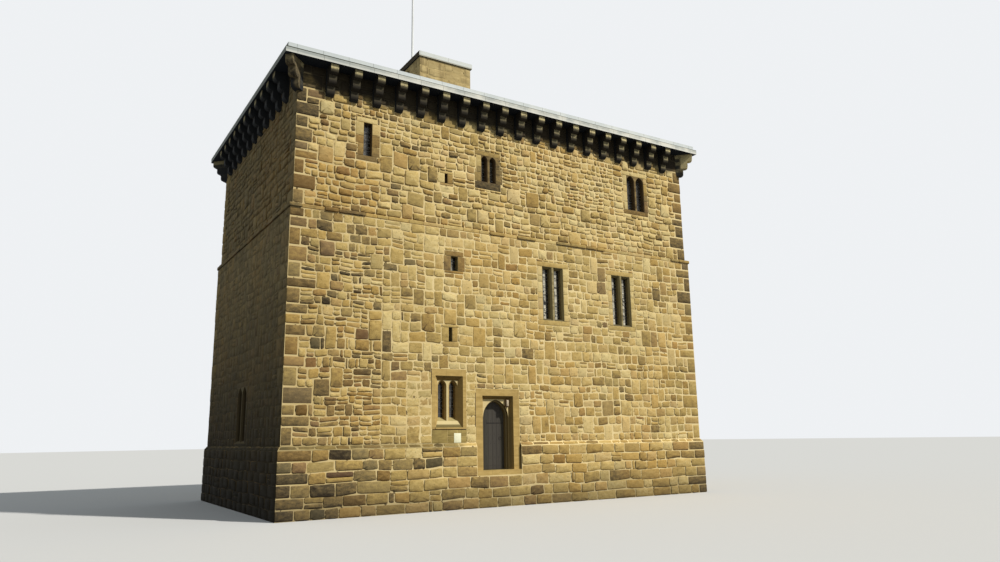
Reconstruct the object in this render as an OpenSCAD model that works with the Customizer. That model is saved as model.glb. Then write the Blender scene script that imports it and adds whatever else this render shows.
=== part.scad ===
// A rectangular castle keep: a plinth that runs down a sloping site, thick lower walls, a string
// course, a set-back upper stage and a table of three-stage corbels under oversailing eaves stones.
// Millimetres, +Z up. The front wall faces -Y, and the origin is on the ground under the centre.

/* [Plan] */
// Width of the lower stage, along the front
keep_w = 18760; // [16800:20:24000]
// Depth of the lower stage, from front to back
keep_d = 11420; // [10400:20:15000]
// How far the plinth stands out from the lower walls
plinth_out = 100; // [40:10:200]
// How far the upper stage is set back above the string course
set_back = 104; // [60:4:200]

/* [Heights] */
// Lowest ground to the top of the plinth
plinth_h = 2320; // [2000:20:3000]
// Height of the slope on top of the plinth
plinth_slope = 130; // [60:10:240]
// Top of the plinth to the string course
lower_h = 8000; // [7800:20:9400]
// String course to the underside of the eaves stones
upper_h = 5370; // [5100:10:6600]

/* [Wall thickness] */
// Foundation walls below the ground floor
footing_t = 2300; // [2250:10:2600]
// Walls of the ground storey
ground_t = 2100; // [2000:10:2200]
// Walls of the first storey
first_t = 1900; // [1800:10:1950]
// Walls of the upper stage
upper_t = 1500; // [1300:10:1600]

/* [Floors] */
// Top of the plinth down to the ground floor and the door's step
floor_drop = 1000; // [800:20:1200]
// Top of the plinth up to the first floor
first_rise = 3440; // [3200:20:3600]
// Thickness of the ground floor
ground_floor_t = 300; // [200:10:400]
// Thickness of the two upper floors
floor_t = 350; // [250:10:400]

/* [String course] */
// How far the string course stands out from the lower walls
string_out = 70; // [40:5:120]
// Height of its upright face
string_face = 70; // [40:5:120]
// Height of its sloping top
string_slope = 90; // [50:5:160]

/* [Corbels] */
// Width of one corbel
corbel_w = 290; // [220:5:360]
// Height of one stage of a corbel
stage_h = 350; // [280:5:380]
// How far each stage steps out past the one below
stage_out = 184; // [150:2:200]
// Radius of the rounded nose under each stage
nose_r = 150; // [80:5:178]
// Target spacing of the corbels
corbel_pitch = 901; // [700:1:1200]
// Corner of the lower wall to the middle of the first corbel
corbel_start = 1265; // [1200:5:1500]

/* [Eaves] */
// How far the lower eaves course stands out from the lower walls
eaves_out = 530; // [520:5:700]
// Height of the lower eaves course
fascia_h = 210; // [150:5:260]
// Height of the upper eaves course
cap_h = 200; // [120:5:260]
// How far the upper course is set back from the lower one
cap_in = 100; // [40:5:160]

/* [Roof] */
// Slope of the lead roof in degrees
roof_pitch = 5; // [3:0.5:8]
// Thickness of the roof
roof_t = 160; // [120:5:200]
// Edge of the upper eaves course to the edge of the roof
roof_in = 200; // [100:10:300]
// Width of the flat ridge
ridge_w = 300; // [200:10:500]

/* [Cap house] */
// Left corner of the keep to the left side of the cap house
cap_house_x = 5480; // [4000:20:7000]
// Front of the keep to the front of the cap house
cap_house_y = 1360; // [1200:20:2000]
// Width of the cap house
cap_house_w = 2380; // [2000:20:3000]
// Depth of the cap house
cap_house_d = 2500; // [2300:20:3000]
// Top of the eaves stones to the top of the cap house walls
cap_house_h = 1900; // [1800:10:2400]
// Thickness of the cap house walls
cap_house_t = 300; // [200:10:400]
// Thickness of the cap house roof slab
slab_t = 220; // [150:10:300]
// How far the slab stands out from the walls
slab_out = 60; // [30:5:120]
// Width of the doorway onto the roof
hatch_w = 800; // [600:10:900]
// Front of the cap house to the doorway's near side
hatch_y = 1010; // [700:10:1100]
// Top of the cap house walls down to the doorway's head
hatch_drop = 160; // [120:10:300]

/* [Flagpole] */
// Height of the flagpole above the cap house slab
pole_h = 6200; // [4500:50:8000]
// Radius of the flagpole at its foot
pole_r = 50; // [40:1:70]
// Radius of the flagpole at its head
pole_tip_r = 30; // [20:1:40]
// Left side of the cap house to the flagpole
pole_x = 285; // [200:5:600]
// Front of the cap house to the flagpole
pole_y = 1360; // [300:10:2000]

/* [Doorway] */
// Left corner of the keep to the middle of the doorway
door_x = 8168; // [7900:4:9400]
// Width of the square frame
frame_w = 1366; // [1300:2:1500]
// Step to the underside of the square frame's head
frame_h = 2720; // [2640:10:2900]
// Width of the splay round the square frame
frame_splay = 122; // [90:2:124]
// Depth of that splay
frame_deep = 170; // [100:10:200]
// Width of the dressed stone beside the frame
jamb_face = 285; // [240:5:400]
// Height of the dressed stone above the frame
lintel_h = 256; // [200:4:400]
// Half width of the outer arch
arch_half = 554; // [530:2:560]
// Height of the arch's springing above the step
spring_h = 1930; // [1850:10:1960]
// How far each arc's centre lies past the middle of the arch
arch_shift = 110; // [60:5:140]
// How far the inner arch steps in
order_step = 60; // [40:2:80]
// Depth of the outer arch
order_d = 110; // [80:10:160]
// Depth of the dressed stone of the doorway
door_stone_d = 410; // [400:10:600]
// Half width of the passage behind the door
passage_half = 600; // [590:5:680]
// Thickness of the doorstep
step_t = 180; // [120:10:260]

/* [Door] */
// Thickness of the boards
leaf_t = 70; // [45:1:90]
// How far the leaf laps behind the inner arch
leaf_lap = 35; // [20:1:45]
// Gap in front of the leaf
leaf_gap = 10; // [6:1:20]
// Gap under the leaf
foot_gap = 12; // [8:1:25]
// Width of one board
board_w = 176; // [120:1:220]
// Depth and width of the groove between boards
board_groove = 6; // [3:1:10]
// Height of one ledge on the back of the leaf
ledge_h = 150; // [100:5:200]
// Thickness of a ledge
ledge_t = 36; // [25:1:45]
// Radius of the hinge pin
pin_r = 11; // [8:0.5:14]
// Thickness of the eye round the hinge pin
eye_t = 10; // [8:1:14]
// Running gap round the hinge pin
pin_gap = 0.5; // [0.3:0.1:1]

/* [Ground storey windows] */
// Left corner of the keep to the middle of the front window
ground_x = 6094; // [5400:2:6400]
// Width of its square frame
ground_w = 1140; // [1000:10:1200]
// Top of the plinth to the foot of its lights
ground_sill = 928; // [800:4:1000]
// Foot of its lights to the frame's head
ground_lights = 1488; // [1300:4:1500]
// Width and depth of the splay round its square frame
ground_splay = 150; // [100:10:180]
// Foot of the sill stone below the foot of the lights
sill_drop = 424; // [360:4:500]
// Fall of the sill under each light, from the glass to the face of the mullion
sill_fall = 136; // [80:4:160]
// Height of the lip along the foot of the sill
lip_h = 52; // [40:4:80]
// How far the lip stands out from the wall
lip_out = 24; // [10:2:40]
// How far in the sill ends above its lip
lip_in = 30; // [10:5:60]
// Width of the dressed stone round the frame
ground_margin = 146; // [110:2:180]
// Height of the dressed stone over the frame
ground_head = 248; // [200:4:320]
// Front corner of the keep to the middle of each side window
side_y = 5420; // [4400:20:6600]
// Width of a side window's two lights with the mullion
side_w = 1320; // [1100:10:1500]
// Height of a side window
side_h = 2080; // [1800:10:2200]
// Top of the plinth to the foot of a side window
side_sill = 130; // [80:10:300]

/* [First storey windows] */
// Left corner of the keep to the middle of the two barred windows
barred_x = [10904, 14560]; // [9800:4:16000]
// Width of a barred window
barred_w = 1048; // [900:4:1200]
// Height of a barred window
barred_h = 2216; // [2000:4:2300]
// Top of the plinth to the foot of a barred window
barred_sill = 4784; // [4500:4:5000]
// Left corner of the keep to the middle of the small window
small_x = 6320; // [6000:4:6600]
// Width and height of the small window
small_size = [300, 570]; // [200:2:700]
// Top of the plinth to the foot of the small window
small_sill = 6380; // [6100:4:6600]
// Left corner of the keep to the middle of the lower slit
slit_x = 6150; // [5800:2:6500]
// Top of the plinth to the foot of the lower slit
slit_sill = 3680; // [3600:4:3800]
// Width and height of the lower slit
slit_size = [140, 530]; // [100:2:640]

/* [Upper stage windows] */
// Left corner of the keep to the middle of the narrow window
narrow_x = 2780; // [2400:4:4000]
// Width and height of the narrow window
narrow_size = [330, 1280]; // [250:2:1500]
// String course to the foot of the narrow window
narrow_sill = 2360; // [1800:4:2800]
// Left corner of the keep to the middle of the middle window
middle_x = 7956; // [7400:4:9000]
// Width and height of the middle window
middle_size = [690, 1110]; // [600:2:1600]
// String course to the foot of the middle window
middle_sill = 2200; // [1600:4:2600]
// Left corner of the keep to the middle of the paired window
paired_x = 15808; // [14000:4:16400]
// Width and height of the paired window
paired_size = [1010, 1640]; // [900:2:1900]
// String course to the foot of the paired window
paired_sill = 2180; // [1600:4:2600]
// Left corner of the keep to the middle of the upper slit
loop_x = 6028; // [5600:4:6400]
// Width and height of the upper slit
loop_size = [120, 390]; // [100:2:600]
// String course to the foot of the upper slit
loop_sill = 1860; // [1500:4:2400]
// Left corner of the keep to the joint between the two lengths of the upper front wall
upper_joint_x = 11400; // [10200:20:12600]

/* [Window stone and glass] */
// Width of the face of a mullion, between its splays
mullion_face = 80; // [50:2:120]
// Splay round each light of the ground storey windows
ground_cut = 60; // [30:5:80]
// Splay round each light of the barred windows
barred_cut = 70; // [30:5:90]
// Splay round each light of the middle and the paired window
upper_cut = 30; // [30:5:60]
// Width of the dressed stone round the plain windows
margin = 200; // [150:5:240]
// Depth of the dressed stone of a window
window_stone_d = 560; // [450:10:650]
// Face of the wall to the glass of the ground storey
glass_deep = 370; // [300:10:480]
// Face of the wall to the glass of the other windows
glass_set = 220; // [180:10:400]
// Thickness of the leaded glass
glass_t = 16; // [8:1:24]
// How much wider and taller the embrasure is than its window
embrasure_more = 240; // [120:10:300]

/* [Hidden] */

// Levels above the lowest ground
string_z = plinth_h + lower_h;
eaves_z = string_z + upper_h;
eaves_top_z = eaves_z + fascia_h + cap_h;
door_z = plinth_h - floor_drop;
first_z = plinth_h + first_rise;
corbel_z = eaves_z - 3 * stage_h;
cap_house_z = eaves_top_z + cap_house_h;
slab_z = cap_house_z + slab_t;
spring_z = door_z + spring_h;
door_stone_z = door_z + frame_h + lintel_h;

// Plan places, from the middle of the keep
front_y = -keep_d / 2;
door_cx = door_x - keep_w / 2;
door_stone_half = frame_w / 2 + jamb_face;
upper_in = set_back + upper_t;
roof_out = eaves_out - cap_in - roof_in;
cap_left = cap_house_x - keep_w / 2;
cap_front = front_y + cap_house_y;

// Door leaf
arch_r = arch_half + arch_shift;
leaf_half = arch_half - order_step + leaf_lap;
leaf_y = front_y + door_stone_d + leaf_gap;
eye_r = pin_r + pin_gap + eye_t;
hinge_x = door_cx - leaf_half;
hinge_y = leaf_y + leaf_t + eye_r;
strap_t = 8;
strap_h = 45;
strap_z = [door_z + 420, door_z + spring_h - 160];

// Reach of a cut that runs clear through, and overlap of a cut past a face
far = 60000;
past = 10;
// Bed left between a corner corbel, which lies skew, and the stones it touches
skew_bed = 0.3;

// Outline of a mass that is symmetric about Z: steps holds [how far out, height] from the foot up
function outline(half, steps) = concat(
    [for (s = steps) [half + s[0], s[1]]],
    [for (i = [len(steps) - 1 : -1 : 0]) [-half - steps[i][0], steps[i][1]]]);

// A mass on the keep's plan whose four sides all follow the same steps, mitred at the corners
module mass(steps) {
    intersection() {
        rotate([90, 0, 0]) linear_extrude(height = far, center = true)
            polygon(outline(keep_w / 2, steps));
        rotate([90, 0, 90]) linear_extrude(height = far, center = true)
            polygon(outline(keep_d / 2, steps));
    }
}

// A box on the keep's plan, drawn in by inset on every side
module plan_box(inset, z0, z1) {
    translate([-keep_w / 2 + inset, front_y + inset, z0])
        cube([keep_w - 2 * inset, keep_d - 2 * inset, z1 - z0]);
}

// Keeps one side of a ring whose inner face lies inset from the keep's plan
module one_side(side, inset) {
    inner_x = keep_w / 2 - inset;
    inner_y = keep_d / 2 - inset;
    intersection() {
        children();
        if (side == "front") translate([-far / 2, -far / 2 - inner_y, -past]) cube([far, far / 2, far]);
        if (side == "back") translate([-far / 2, inner_y, -past]) cube([far, far / 2, far]);
        if (side == "left")
            translate([-far / 2 - inner_x, -inner_y, -past]) cube([far / 2, 2 * inner_y, far]);
        if (side == "right") translate([inner_x, -inner_y, -past]) cube([far / 2, 2 * inner_y, far]);
    }
}

// Places a child on the outer face of a wall: x runs to the right as seen from outside, y inwards
module on_wall(side, x, z, face = 0) {
    turn = side == "front" ? 0 : side == "back" ? 180 : side == "left" ? -90 : 90;
    half = (side == "front" || side == "back") ? keep_d / 2 : keep_w / 2;
    rotate([0, 0, turn]) translate([x, -half + face, z]) children();
}

// A pointed or square light standing on y = 0, with its middle at x = 0
module light_2d(w, h, head) {
    if (head == "square") translate([-w / 2, 0]) square([w, h]);
    if (head == "pointed") pointed_2d(w / 2, h);
}

// Two arcs over straight sides: half is the half width and h the height of the point
module pointed_2d(half, h) {
    shift = shift_of(half);
    spring = spring_of(half, h);
    translate([-half, 0]) square([2 * half, spring]);
    intersection() {
        translate([-shift, spring]) circle(r = half + shift, $fn = 96);
        translate([shift, spring]) circle(r = half + shift, $fn = 96);
        translate([-half, spring - past]) square([2 * half, h - spring + 2 * past]);
    }
}

// How far past the middle the arcs of a pointed light have their centres, and where they spring
function shift_of(half) = half * 0.24;
function spring_of(half, h) = h - sqrt(pow(half + shift_of(half), 2) - pow(shift_of(half), 2));

// The splay in front of a light: at its own depth cut it has narrowed to the light's outline
module light_splay(w, h, head, cut) {
    half = w / 2;
    top = head == "square" ? h + cut + past : spring_of(half, h);
    inner_top = head == "square" ? h : top;
    intersection() {
        translate([0, 0, -far / 8]) linear_extrude(height = far / 4)
            polygon([[-half - cut - past, -past], [half + cut + past, -past], [half, cut], [-half, cut]]);
        rotate([90, 0, 90]) linear_extrude(height = far / 4, center = true)
            polygon([[-past, -cut - past], [cut, 0], [cut, inner_top], [-past, top]]);
    }
    if (head == "pointed") intersection() {
        head_cone(-shift_of(half), top, half + shift_of(half), cut);
        head_cone(shift_of(half), top, half + shift_of(half), cut);
        translate([-far / 8, -past, top]) cube([far / 4, cut + past, far / 8]);
    }
}

module head_cone(x, z, r, cut) {
    translate([x, -past, z]) rotate([-90, 0, 0])
        cylinder(h = cut + past, r1 = r + cut + past, r2 = r, $fn = 96);
}

// The lights of a window side by side, as flat outlines
module lights_2d(win) {
    for (i = [0 : win[6] - 1])
        translate([light_x(win, i), light_foot(win)]) light_2d(light_w(win), light_h(win), win[7]);
}

// Stands a flat outline up against a wall, from depth y0 to y1
module upright(y0, y1) {
    translate([0, y1, 0]) rotate([90, 0, 0]) linear_extrude(height = y1 - y0) children();
}

// Every window: [storey, side, x, sill height, width, height, lights, head, face, below, above, splay]
windows = [
    ["ground", "front", ground_x - keep_w / 2, plinth_h + ground_sill,
        ground_w, ground_lights, 2, "pointed", 0, sill_drop, ground_head, ground_cut],
    ["ground", "back", ground_x - keep_w / 2, plinth_h + ground_sill,
        ground_w, ground_lights, 2, "pointed", 0, sill_drop, ground_head, ground_cut],
    ["ground", "back", keep_w / 2 - ground_x, plinth_h + ground_sill,
        ground_w, ground_lights, 2, "pointed", 0, sill_drop, ground_head, ground_cut],
    ["ground", "left", keep_d / 2 - side_y, plinth_h + side_sill,
        side_w, side_h, 2, "pointed", 0, side_sill, margin, ground_cut],
    ["ground", "right", side_y - keep_d / 2, plinth_h + side_sill,
        side_w, side_h, 2, "pointed", 0, side_sill, margin, ground_cut],
    for (side = ["front", "back"]) for (x = barred_x)
        ["first", side, x - keep_w / 2, plinth_h + barred_sill,
            barred_w, barred_h, 2, "square", 0, margin, margin, barred_cut],
    ["first", "front", small_x - keep_w / 2, plinth_h + small_sill,
        small_size[0], small_size[1], 1, "square", 0, margin / 2, margin, 0],
    ["first", "front", slit_x - keep_w / 2, plinth_h + slit_sill,
        slit_size[0], slit_size[1], 1, "square", 0, margin, margin / 2, 0],
    for (side = ["front", "back"])
        ["upper", side, narrow_x - keep_w / 2, string_z + narrow_sill,
            narrow_size[0], narrow_size[1], 1, "square", set_back, margin, margin, 0],
    for (side = ["front", "back"])
        ["upper", side, middle_x - keep_w / 2, string_z + middle_sill,
            middle_size[0], middle_size[1], 2, "pointed", set_back, margin, margin, upper_cut],
    for (side = ["front", "back"])
        ["upper", side, paired_x - keep_w / 2, string_z + paired_sill,
            paired_size[0], paired_size[1], 2, "pointed", set_back, margin, margin, upper_cut],
    ["upper", "front", loop_x - keep_w / 2, string_z + loop_sill,
        loop_size[0], loop_size[1], 1, "square", set_back, margin / 2, margin / 2, 0]];

function has_sill(win) = win[0] == "ground" && (win[1] == "front" || win[1] == "back");
function margin_of(win) = has_sill(win) ? ground_margin : margin;
function glass_of(win) = win[0] == "ground" ? glass_deep : glass_set;

// The lights stand behind the square frame, and each has its splay all round
function frame_of(win) = has_sill(win) ? ground_splay : 0;
function light_w(win) = (win[4] - 2 * frame_of(win) - (win[6] - 1) * mullion_face) / win[6] - 2 * win[11];
function light_x(win, i) =
    (i - (win[6] - 1) / 2) * (light_w(win) + 2 * win[11] + mullion_face);
function light_foot(win) = has_sill(win) ? 0 : win[11];
function light_h(win) = win[5] - light_foot(win) - win[11] - frame_of(win);

// The pocket of a window's dressed stone and the embrasure behind it
module window_hole(win) {
    side_margin = margin_of(win);
    w = win[4];
    h = win[5];
    inner_w = w + embrasure_more;
    on_wall(win[1], win[2], win[3], win[8]) {
        translate([-w / 2 - side_margin, -plinth_out - past, -win[9]])
            cube([w + 2 * side_margin, window_stone_d + plinth_out + past, h + win[9] + win[10]]);
        translate([-inner_w / 2, window_stone_d, 0])
            cube([inner_w, ground_t, h + embrasure_more / 2]);
    }
}

// The dressed stone: jambs, head, mullion and, under a ground window, its sloping sill and lip
module window_stone(win) {
    side_margin = margin_of(win);
    w = win[4];
    h = win[5];
    on_wall(win[1], win[2], win[3], win[8]) {
        difference() {
            translate([-w / 2 - side_margin, 0, -win[9]])
                cube([w + 2 * side_margin, window_stone_d, h + win[9] + win[10]]);
            upright(-past, window_stone_d + past) lights_2d(win);
            if (win[11] > 0) for (i = [0 : win[6] - 1])
                translate([light_x(win, i), frame_of(win), light_foot(win)])
                    light_splay(light_w(win), light_h(win), win[7], win[11]);
            if (has_sill(win)) {
                square_frame(w, h);
                for (i = [0 : win[6] - 1]) translate([light_x(win, i), 0, 0]) light_sill(win);
            }
        }
        if (has_sill(win)) translate([-w / 2, -lip_out, -sill_drop]) cube([w, lip_out + past, lip_h]);
    }
}

// The splayed frame in front of the lights, down to the lip of the sill
module square_frame(w, h) {
    half = w / 2;
    foot = lip_h - sill_drop;
    intersection() {
        translate([0, 0, -far / 8]) linear_extrude(height = far / 4)
            polygon([[-half, -past], [-half, 0], [-half + ground_splay, ground_splay],
                [half - ground_splay, ground_splay], [half, 0], [half, -past]]);
        rotate([90, 0, 90]) linear_extrude(height = far / 4, center = true)
            polygon([[-past, foot], [-past, h], [0, h], [ground_splay, h - ground_splay],
                [ground_splay, -sill_fall], [lip_in, foot]]);
    }
}

// The sloping sill of one light, between the mullion and the jamb, from the glass outwards
module light_sill(win) {
    half = light_w(win) / 2;
    cut = win[11];
    intersection() {
        translate([0, 0, -far / 8]) linear_extrude(height = far / 4)
            polygon([[-half - cut, ground_splay - past], [half + cut, ground_splay - past],
                [half + cut, ground_splay], [half, ground_splay + cut], [half, glass_deep],
                [-half, glass_deep], [-half, ground_splay + cut], [-half - cut, ground_splay]]);
        rotate([90, 0, 90]) linear_extrude(height = far / 4, center = true)
            polygon([[ground_splay - past, past], [glass_deep, past], [glass_deep, 0],
                [ground_splay, -sill_fall], [ground_splay - past, -sill_fall]]);
    }
}

module window_glass(win) {
    deep = glass_of(win);
    on_wall(win[1], win[2], win[3], win[8])
        upright(deep, deep + glass_t) lights_2d(win);
}

// Lower walls with their plinth, the storeys' hollows and the windows cut through
module lower_shell() {
    difference() {
        mass([[plinth_out, 0], [plinth_out, plinth_h - plinth_slope], [0, plinth_h], [0, string_z]]);
        plan_box(footing_t, -past, door_z - ground_floor_t);
        plan_box(ground_t, door_z - ground_floor_t, first_z - floor_t);
        plan_box(first_t, first_z - floor_t, string_z + past);
        for (win = windows) if (win[0] != "upper") window_hole(win);
    }
}

module door_column(half, y0, y1, z0, z1) {
    translate([door_cx - half, front_y + y0, z0]) cube([2 * half, y1 - y0, z1 - z0]);
}

// Everything of the front wall that the doorway and the masonry over and under it take up
module door_zone() {
    door_column(door_stone_half, -far / 4, far / 4, -past, door_z);
    door_column(door_stone_half, -far / 4, door_stone_d, door_z - past, door_stone_z + past);
    door_column(passage_half, 0, footing_t + past, door_z - past, door_stone_z + past);
    door_column(door_stone_half, -far / 4, far / 4, door_stone_z, far / 2);
}

module front_wall_left() {
    color("burlywood") intersection() {
        difference() {
            front_band();
            door_zone();
        }
        translate([-far / 2, -far / 2, -past]) cube([far / 2 + door_cx, far, far]);
    }
}

module front_wall_right() {
    color("burlywood") intersection() {
        difference() {
            front_band();
            door_zone();
        }
        translate([door_cx, -far / 2, -past]) cube([far / 2, far, far]);
    }
}

// The band of the lower shell from the front face to the footing's inner face
module front_band() {
    one_side("front", footing_t) lower_shell();
}

module wall_over_door() {
    color("burlywood") intersection() {
        front_band();
        door_column(door_stone_half, -far / 4, far / 4, door_stone_z, far / 2);
    }
}

module wall_under_door() {
    color("burlywood") intersection() {
        front_band();
        door_column(door_stone_half, -far / 4, far / 4, -past, door_z - step_t);
    }
}

// The step fills the wall's thickness at the doorway, and its outer face is the plinth's
module doorstep() {
    color("tan") intersection() {
        mass([[plinth_out, 0], [plinth_out, plinth_h]]);
        door_column(door_stone_half, -plinth_out, ground_t, door_z - step_t, door_z);
    }
}

module back_wall() {
    color("burlywood") one_side("back", footing_t) lower_shell();
}

module left_wall() {
    color("burlywood") one_side("left", footing_t) lower_shell();
}

module right_wall() {
    color("burlywood") one_side("right", footing_t) lower_shell();
}

// A weathered ledge on the lower walls, round the foot of the upper stage
module string_course() {
    color("tan") difference() {
        mass([[string_out, string_z], [string_out, string_z + string_face],
            [-set_back, string_z + string_face + string_slope]]);
        plan_box(set_back, string_z - past, string_z + string_face + string_slope + past);
    }
}

module upper_shell() {
    difference() {
        plan_box(set_back, string_z, eaves_z);
        plan_box(upper_in, string_z - past, eaves_z + past);
        for (win = windows) if (win[0] == "upper") window_hole(win);
    }
}

// The upper front wall is in two lengths that meet between the middle and the paired windows
module upper_front_length(x0) {
    color("burlywood") intersection() {
        one_side("front", upper_in) upper_shell();
        translate([x0, -far / 2, -past]) cube([far / 2, far, far]);
    }
}

module upper_front_wall_left() {
    upper_front_length(upper_joint_x - keep_w / 2 - far / 2);
}

module upper_front_wall_right() {
    upper_front_length(upper_joint_x - keep_w / 2);
}

module upper_back_wall() {
    color("burlywood") one_side("back", upper_in) upper_shell();
}

module upper_left_wall() {
    color("burlywood") one_side("left", upper_in) upper_shell();
}

module upper_right_wall() {
    color("burlywood") one_side("right", upper_in) upper_shell();
}

// One stage of a corbel in section: it stands out to x = reach and its lower edge is rounded
module stage_2d(reach) {
    translate([0, nose_r]) square([reach, stage_h - nose_r]);
    intersection() {
        union() {
            square([reach - nose_r, nose_r]);
            translate([reach - nose_r, nose_r]) circle(r = nose_r, $fn = 64);
        }
        square([reach, stage_h]);
    }
}

module corbel_2d(step) {
    for (i = [0 : 2]) translate([0, i * stage_h]) stage_2d((i + 1) * step);
}

// A corbel with its back at y = 0, standing out towards -y
module corbel() {
    rotate([90, 0, -90]) linear_extrude(height = corbel_w, center = true) corbel_2d(stage_out);
}

// A row of corbels along a wall of this length, centred on it
module corbel_row(side) {
    length = (side == "front" || side == "back") ? keep_w : keep_d;
    run = length - 2 * corbel_start;
    gaps = round(run / corbel_pitch);
    for (i = [0 : gaps])
        on_wall(side, -run / 2 + i * run / gaps, corbel_z, set_back) corbel();
}

module corbels_front() {
    color("dimgray") corbel_row("front");
}

module corbels_back() {
    color("dimgray") corbel_row("back");
}

module corbels_left() {
    color("dimgray") corbel_row("left");
}

module corbels_right() {
    color("dimgray") corbel_row("right");
}

// A diagonal corbel at each corner, cut to sit on both faces of the wall
module corner_corbels() {
    corner_reach = 1.22;
    diagonal_step = stage_out * corner_reach;
    tail = corbel_w / 2;
    color("dimgray") difference() {
        for (sx = [-1, 1]) for (sy = [-1, 1])
            translate([sx * (keep_w / 2 - set_back), sy * (keep_d / 2 - set_back), corbel_z - skew_bed])
                rotate([0, 0, atan2(sy, sx)]) {
                    rotate([90, 0, 0]) linear_extrude(height = corbel_w, center = true)
                        corbel_2d(diagonal_step);
                    translate([-tail, -corbel_w / 2, 0]) cube([tail, corbel_w, 3 * stage_h]);
                }
        plan_box(set_back - skew_bed, corbel_z - past, eaves_z + past);
    }
}

// Two courses of oversailing stones round the wall head
module eaves_ring() {
    difference() {
        mass([[eaves_out, eaves_z], [eaves_out, eaves_z + fascia_h],
            [eaves_out - cap_in, eaves_z + fascia_h], [eaves_out - cap_in, eaves_top_z]]);
        plan_box(upper_in, eaves_z - past, eaves_top_z + past);
    }
}

module eaves_front() {
    color("lightgray") one_side("front", upper_in) eaves_ring();
}

module eaves_back() {
    color("lightgray") one_side("back", upper_in) eaves_ring();
}

module eaves_left() {
    color("lightgray") one_side("left", upper_in) eaves_ring();
}

module eaves_right() {
    color("lightgray") one_side("right", upper_in) eaves_ring();
}

// The hipped roof as a solid; all four slopes share one pitch
module roof_mass() {
    run = keep_d / 2 + roof_out - ridge_w / 2;
    mass([[roof_out, eaves_top_z], [roof_out - run, eaves_top_z + run * tan(roof_pitch)]]);
}

module roof_shell() {
    difference() {
        roof_mass();
        translate([0, 0, -roof_t]) roof_mass();
    }
}

// The plan of one slope, bounded by the hips and the ridge
module slope_plan(side) {
    half_w = keep_w / 2 + roof_out;
    half_d = keep_d / 2 + roof_out;
    ridge = half_w - half_d;
    points = side == "front" ? [[-half_w, -half_d], [half_w, -half_d], [ridge, 0], [-ridge, 0]]
        : side == "back" ? [[-half_w, half_d], [-ridge, 0], [ridge, 0], [half_w, half_d]]
        : side == "left" ? [[-half_w, half_d], [-half_w, -half_d], [-ridge, 0]]
        : [[half_w, -half_d], [half_w, half_d], [ridge, 0]];
    translate([0, 0, eaves_z]) linear_extrude(height = far / 4) polygon(points);
}

module roof_slope(side) {
    color("slategray") intersection() {
        roof_shell();
        slope_plan(side);
    }
}

module roof_front() {
    roof_slope("front");
}

module roof_back() {
    roof_slope("back");
}

module roof_left() {
    roof_slope("left");
}

module roof_right() {
    roof_slope("right");
}

// The small stone house over the stair head, its walls cut to the slope of the roof
module cap_house_walls() {
    color("burlywood") difference() {
        translate([cap_left, cap_front, eaves_top_z])
            cube([cap_house_w, cap_house_d, cap_house_h]);
        translate([cap_left + cap_house_t, cap_front + cap_house_t, eaves_top_z - past])
            cube([cap_house_w - 2 * cap_house_t, cap_house_d - 2 * cap_house_t,
                cap_house_h + 2 * past]);
        translate([cap_left - past, cap_front + hatch_y, eaves_top_z - past])
            cube([cap_house_t + 2 * past, hatch_w, cap_house_h - hatch_drop + past]);
        roof_mass();
    }
}

module cap_house_slab() {
    color("ivory") translate([cap_left - slab_out, cap_front - slab_out, cap_house_z])
        cube([cap_house_w + 2 * slab_out, cap_house_d + 2 * slab_out, slab_t]);
}

// A fixed plank door that fills the doorway, set back in its thickness
module cap_house_door() {
    hatch_t = 60;
    color("darkslategray") difference() {
        translate([cap_left + cap_house_t / 2, cap_front + hatch_y, eaves_top_z])
            cube([hatch_t, hatch_w, cap_house_h - hatch_drop]);
        roof_mass();
    }
}

// A tapered pole on a plate, with a ball at its head
module flagpole() {
    plate = 300;
    plate_t = 25;
    ball_r = 75;
    color("white") translate([cap_left + pole_x, cap_front + pole_y, slab_z]) {
        translate([-plate / 2, -plate / 2, 0]) cube([plate, plate, plate_t]);
        cylinder(h = pole_h, r1 = pole_r, r2 = pole_tip_r, $fn = 48);
        translate([0, 0, pole_h]) sphere(r = ball_r, $fn = 48);
    }
}

module ground_floor() {
    color("gray") plan_box(ground_t, door_z - ground_floor_t, door_z);
}

module first_floor() {
    color("saddlebrown") plan_box(first_t, first_z - floor_t, first_z);
}

module second_floor() {
    color("saddlebrown") plan_box(upper_in, string_z, string_z + floor_t);
}

// The doorway's dressed stone as one block, with its square frame and two orders of arch
module door_stone() {
    inner = arch_half - order_step;
    spring = spring_z - door_z;
    difference() {
        door_column(door_stone_half, 0, door_stone_d, door_z, door_stone_z);
        translate([door_cx, front_y, door_z]) {
            frame_cut();
            upright(-past, frame_deep + order_d) arch_2d(arch_half, arch_r, spring);
            upright(-past, door_stone_d + past) arch_2d(inner, arch_r - order_step, spring);
        }
    }
}

// A pointed arch over straight sides, whose arcs share the outer arch's centres
module arch_2d(half, r, spring) {
    translate([-half, -past]) square([2 * half, spring + past]);
    intersection() {
        translate([-arch_shift, spring]) circle(r = r, $fn = 128);
        translate([arch_shift, spring]) circle(r = r, $fn = 128);
        translate([-half, spring]) square([2 * half, r]);
    }
}

// The splay round the square frame, on both sides and at the head
module frame_cut() {
    half = frame_w / 2;
    intersection() {
        translate([0, 0, -past]) linear_extrude(height = far / 4)
            polygon([[-half, -past], [-half, 0], [-half + frame_splay, frame_deep],
                [half - frame_splay, frame_deep], [half, 0], [half, -past]]);
        rotate([90, 0, 90]) linear_extrude(height = far / 4, center = true)
            polygon([[-past, -past], [-past, frame_h], [0, frame_h],
                [frame_deep, frame_h - frame_splay], [frame_deep, -past]]);
    }
}

module door_jambs() {
    color("wheat") intersection() {
        door_stone();
        door_column(door_stone_half, -past, door_stone_d, door_z, spring_z);
    }
}

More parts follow.
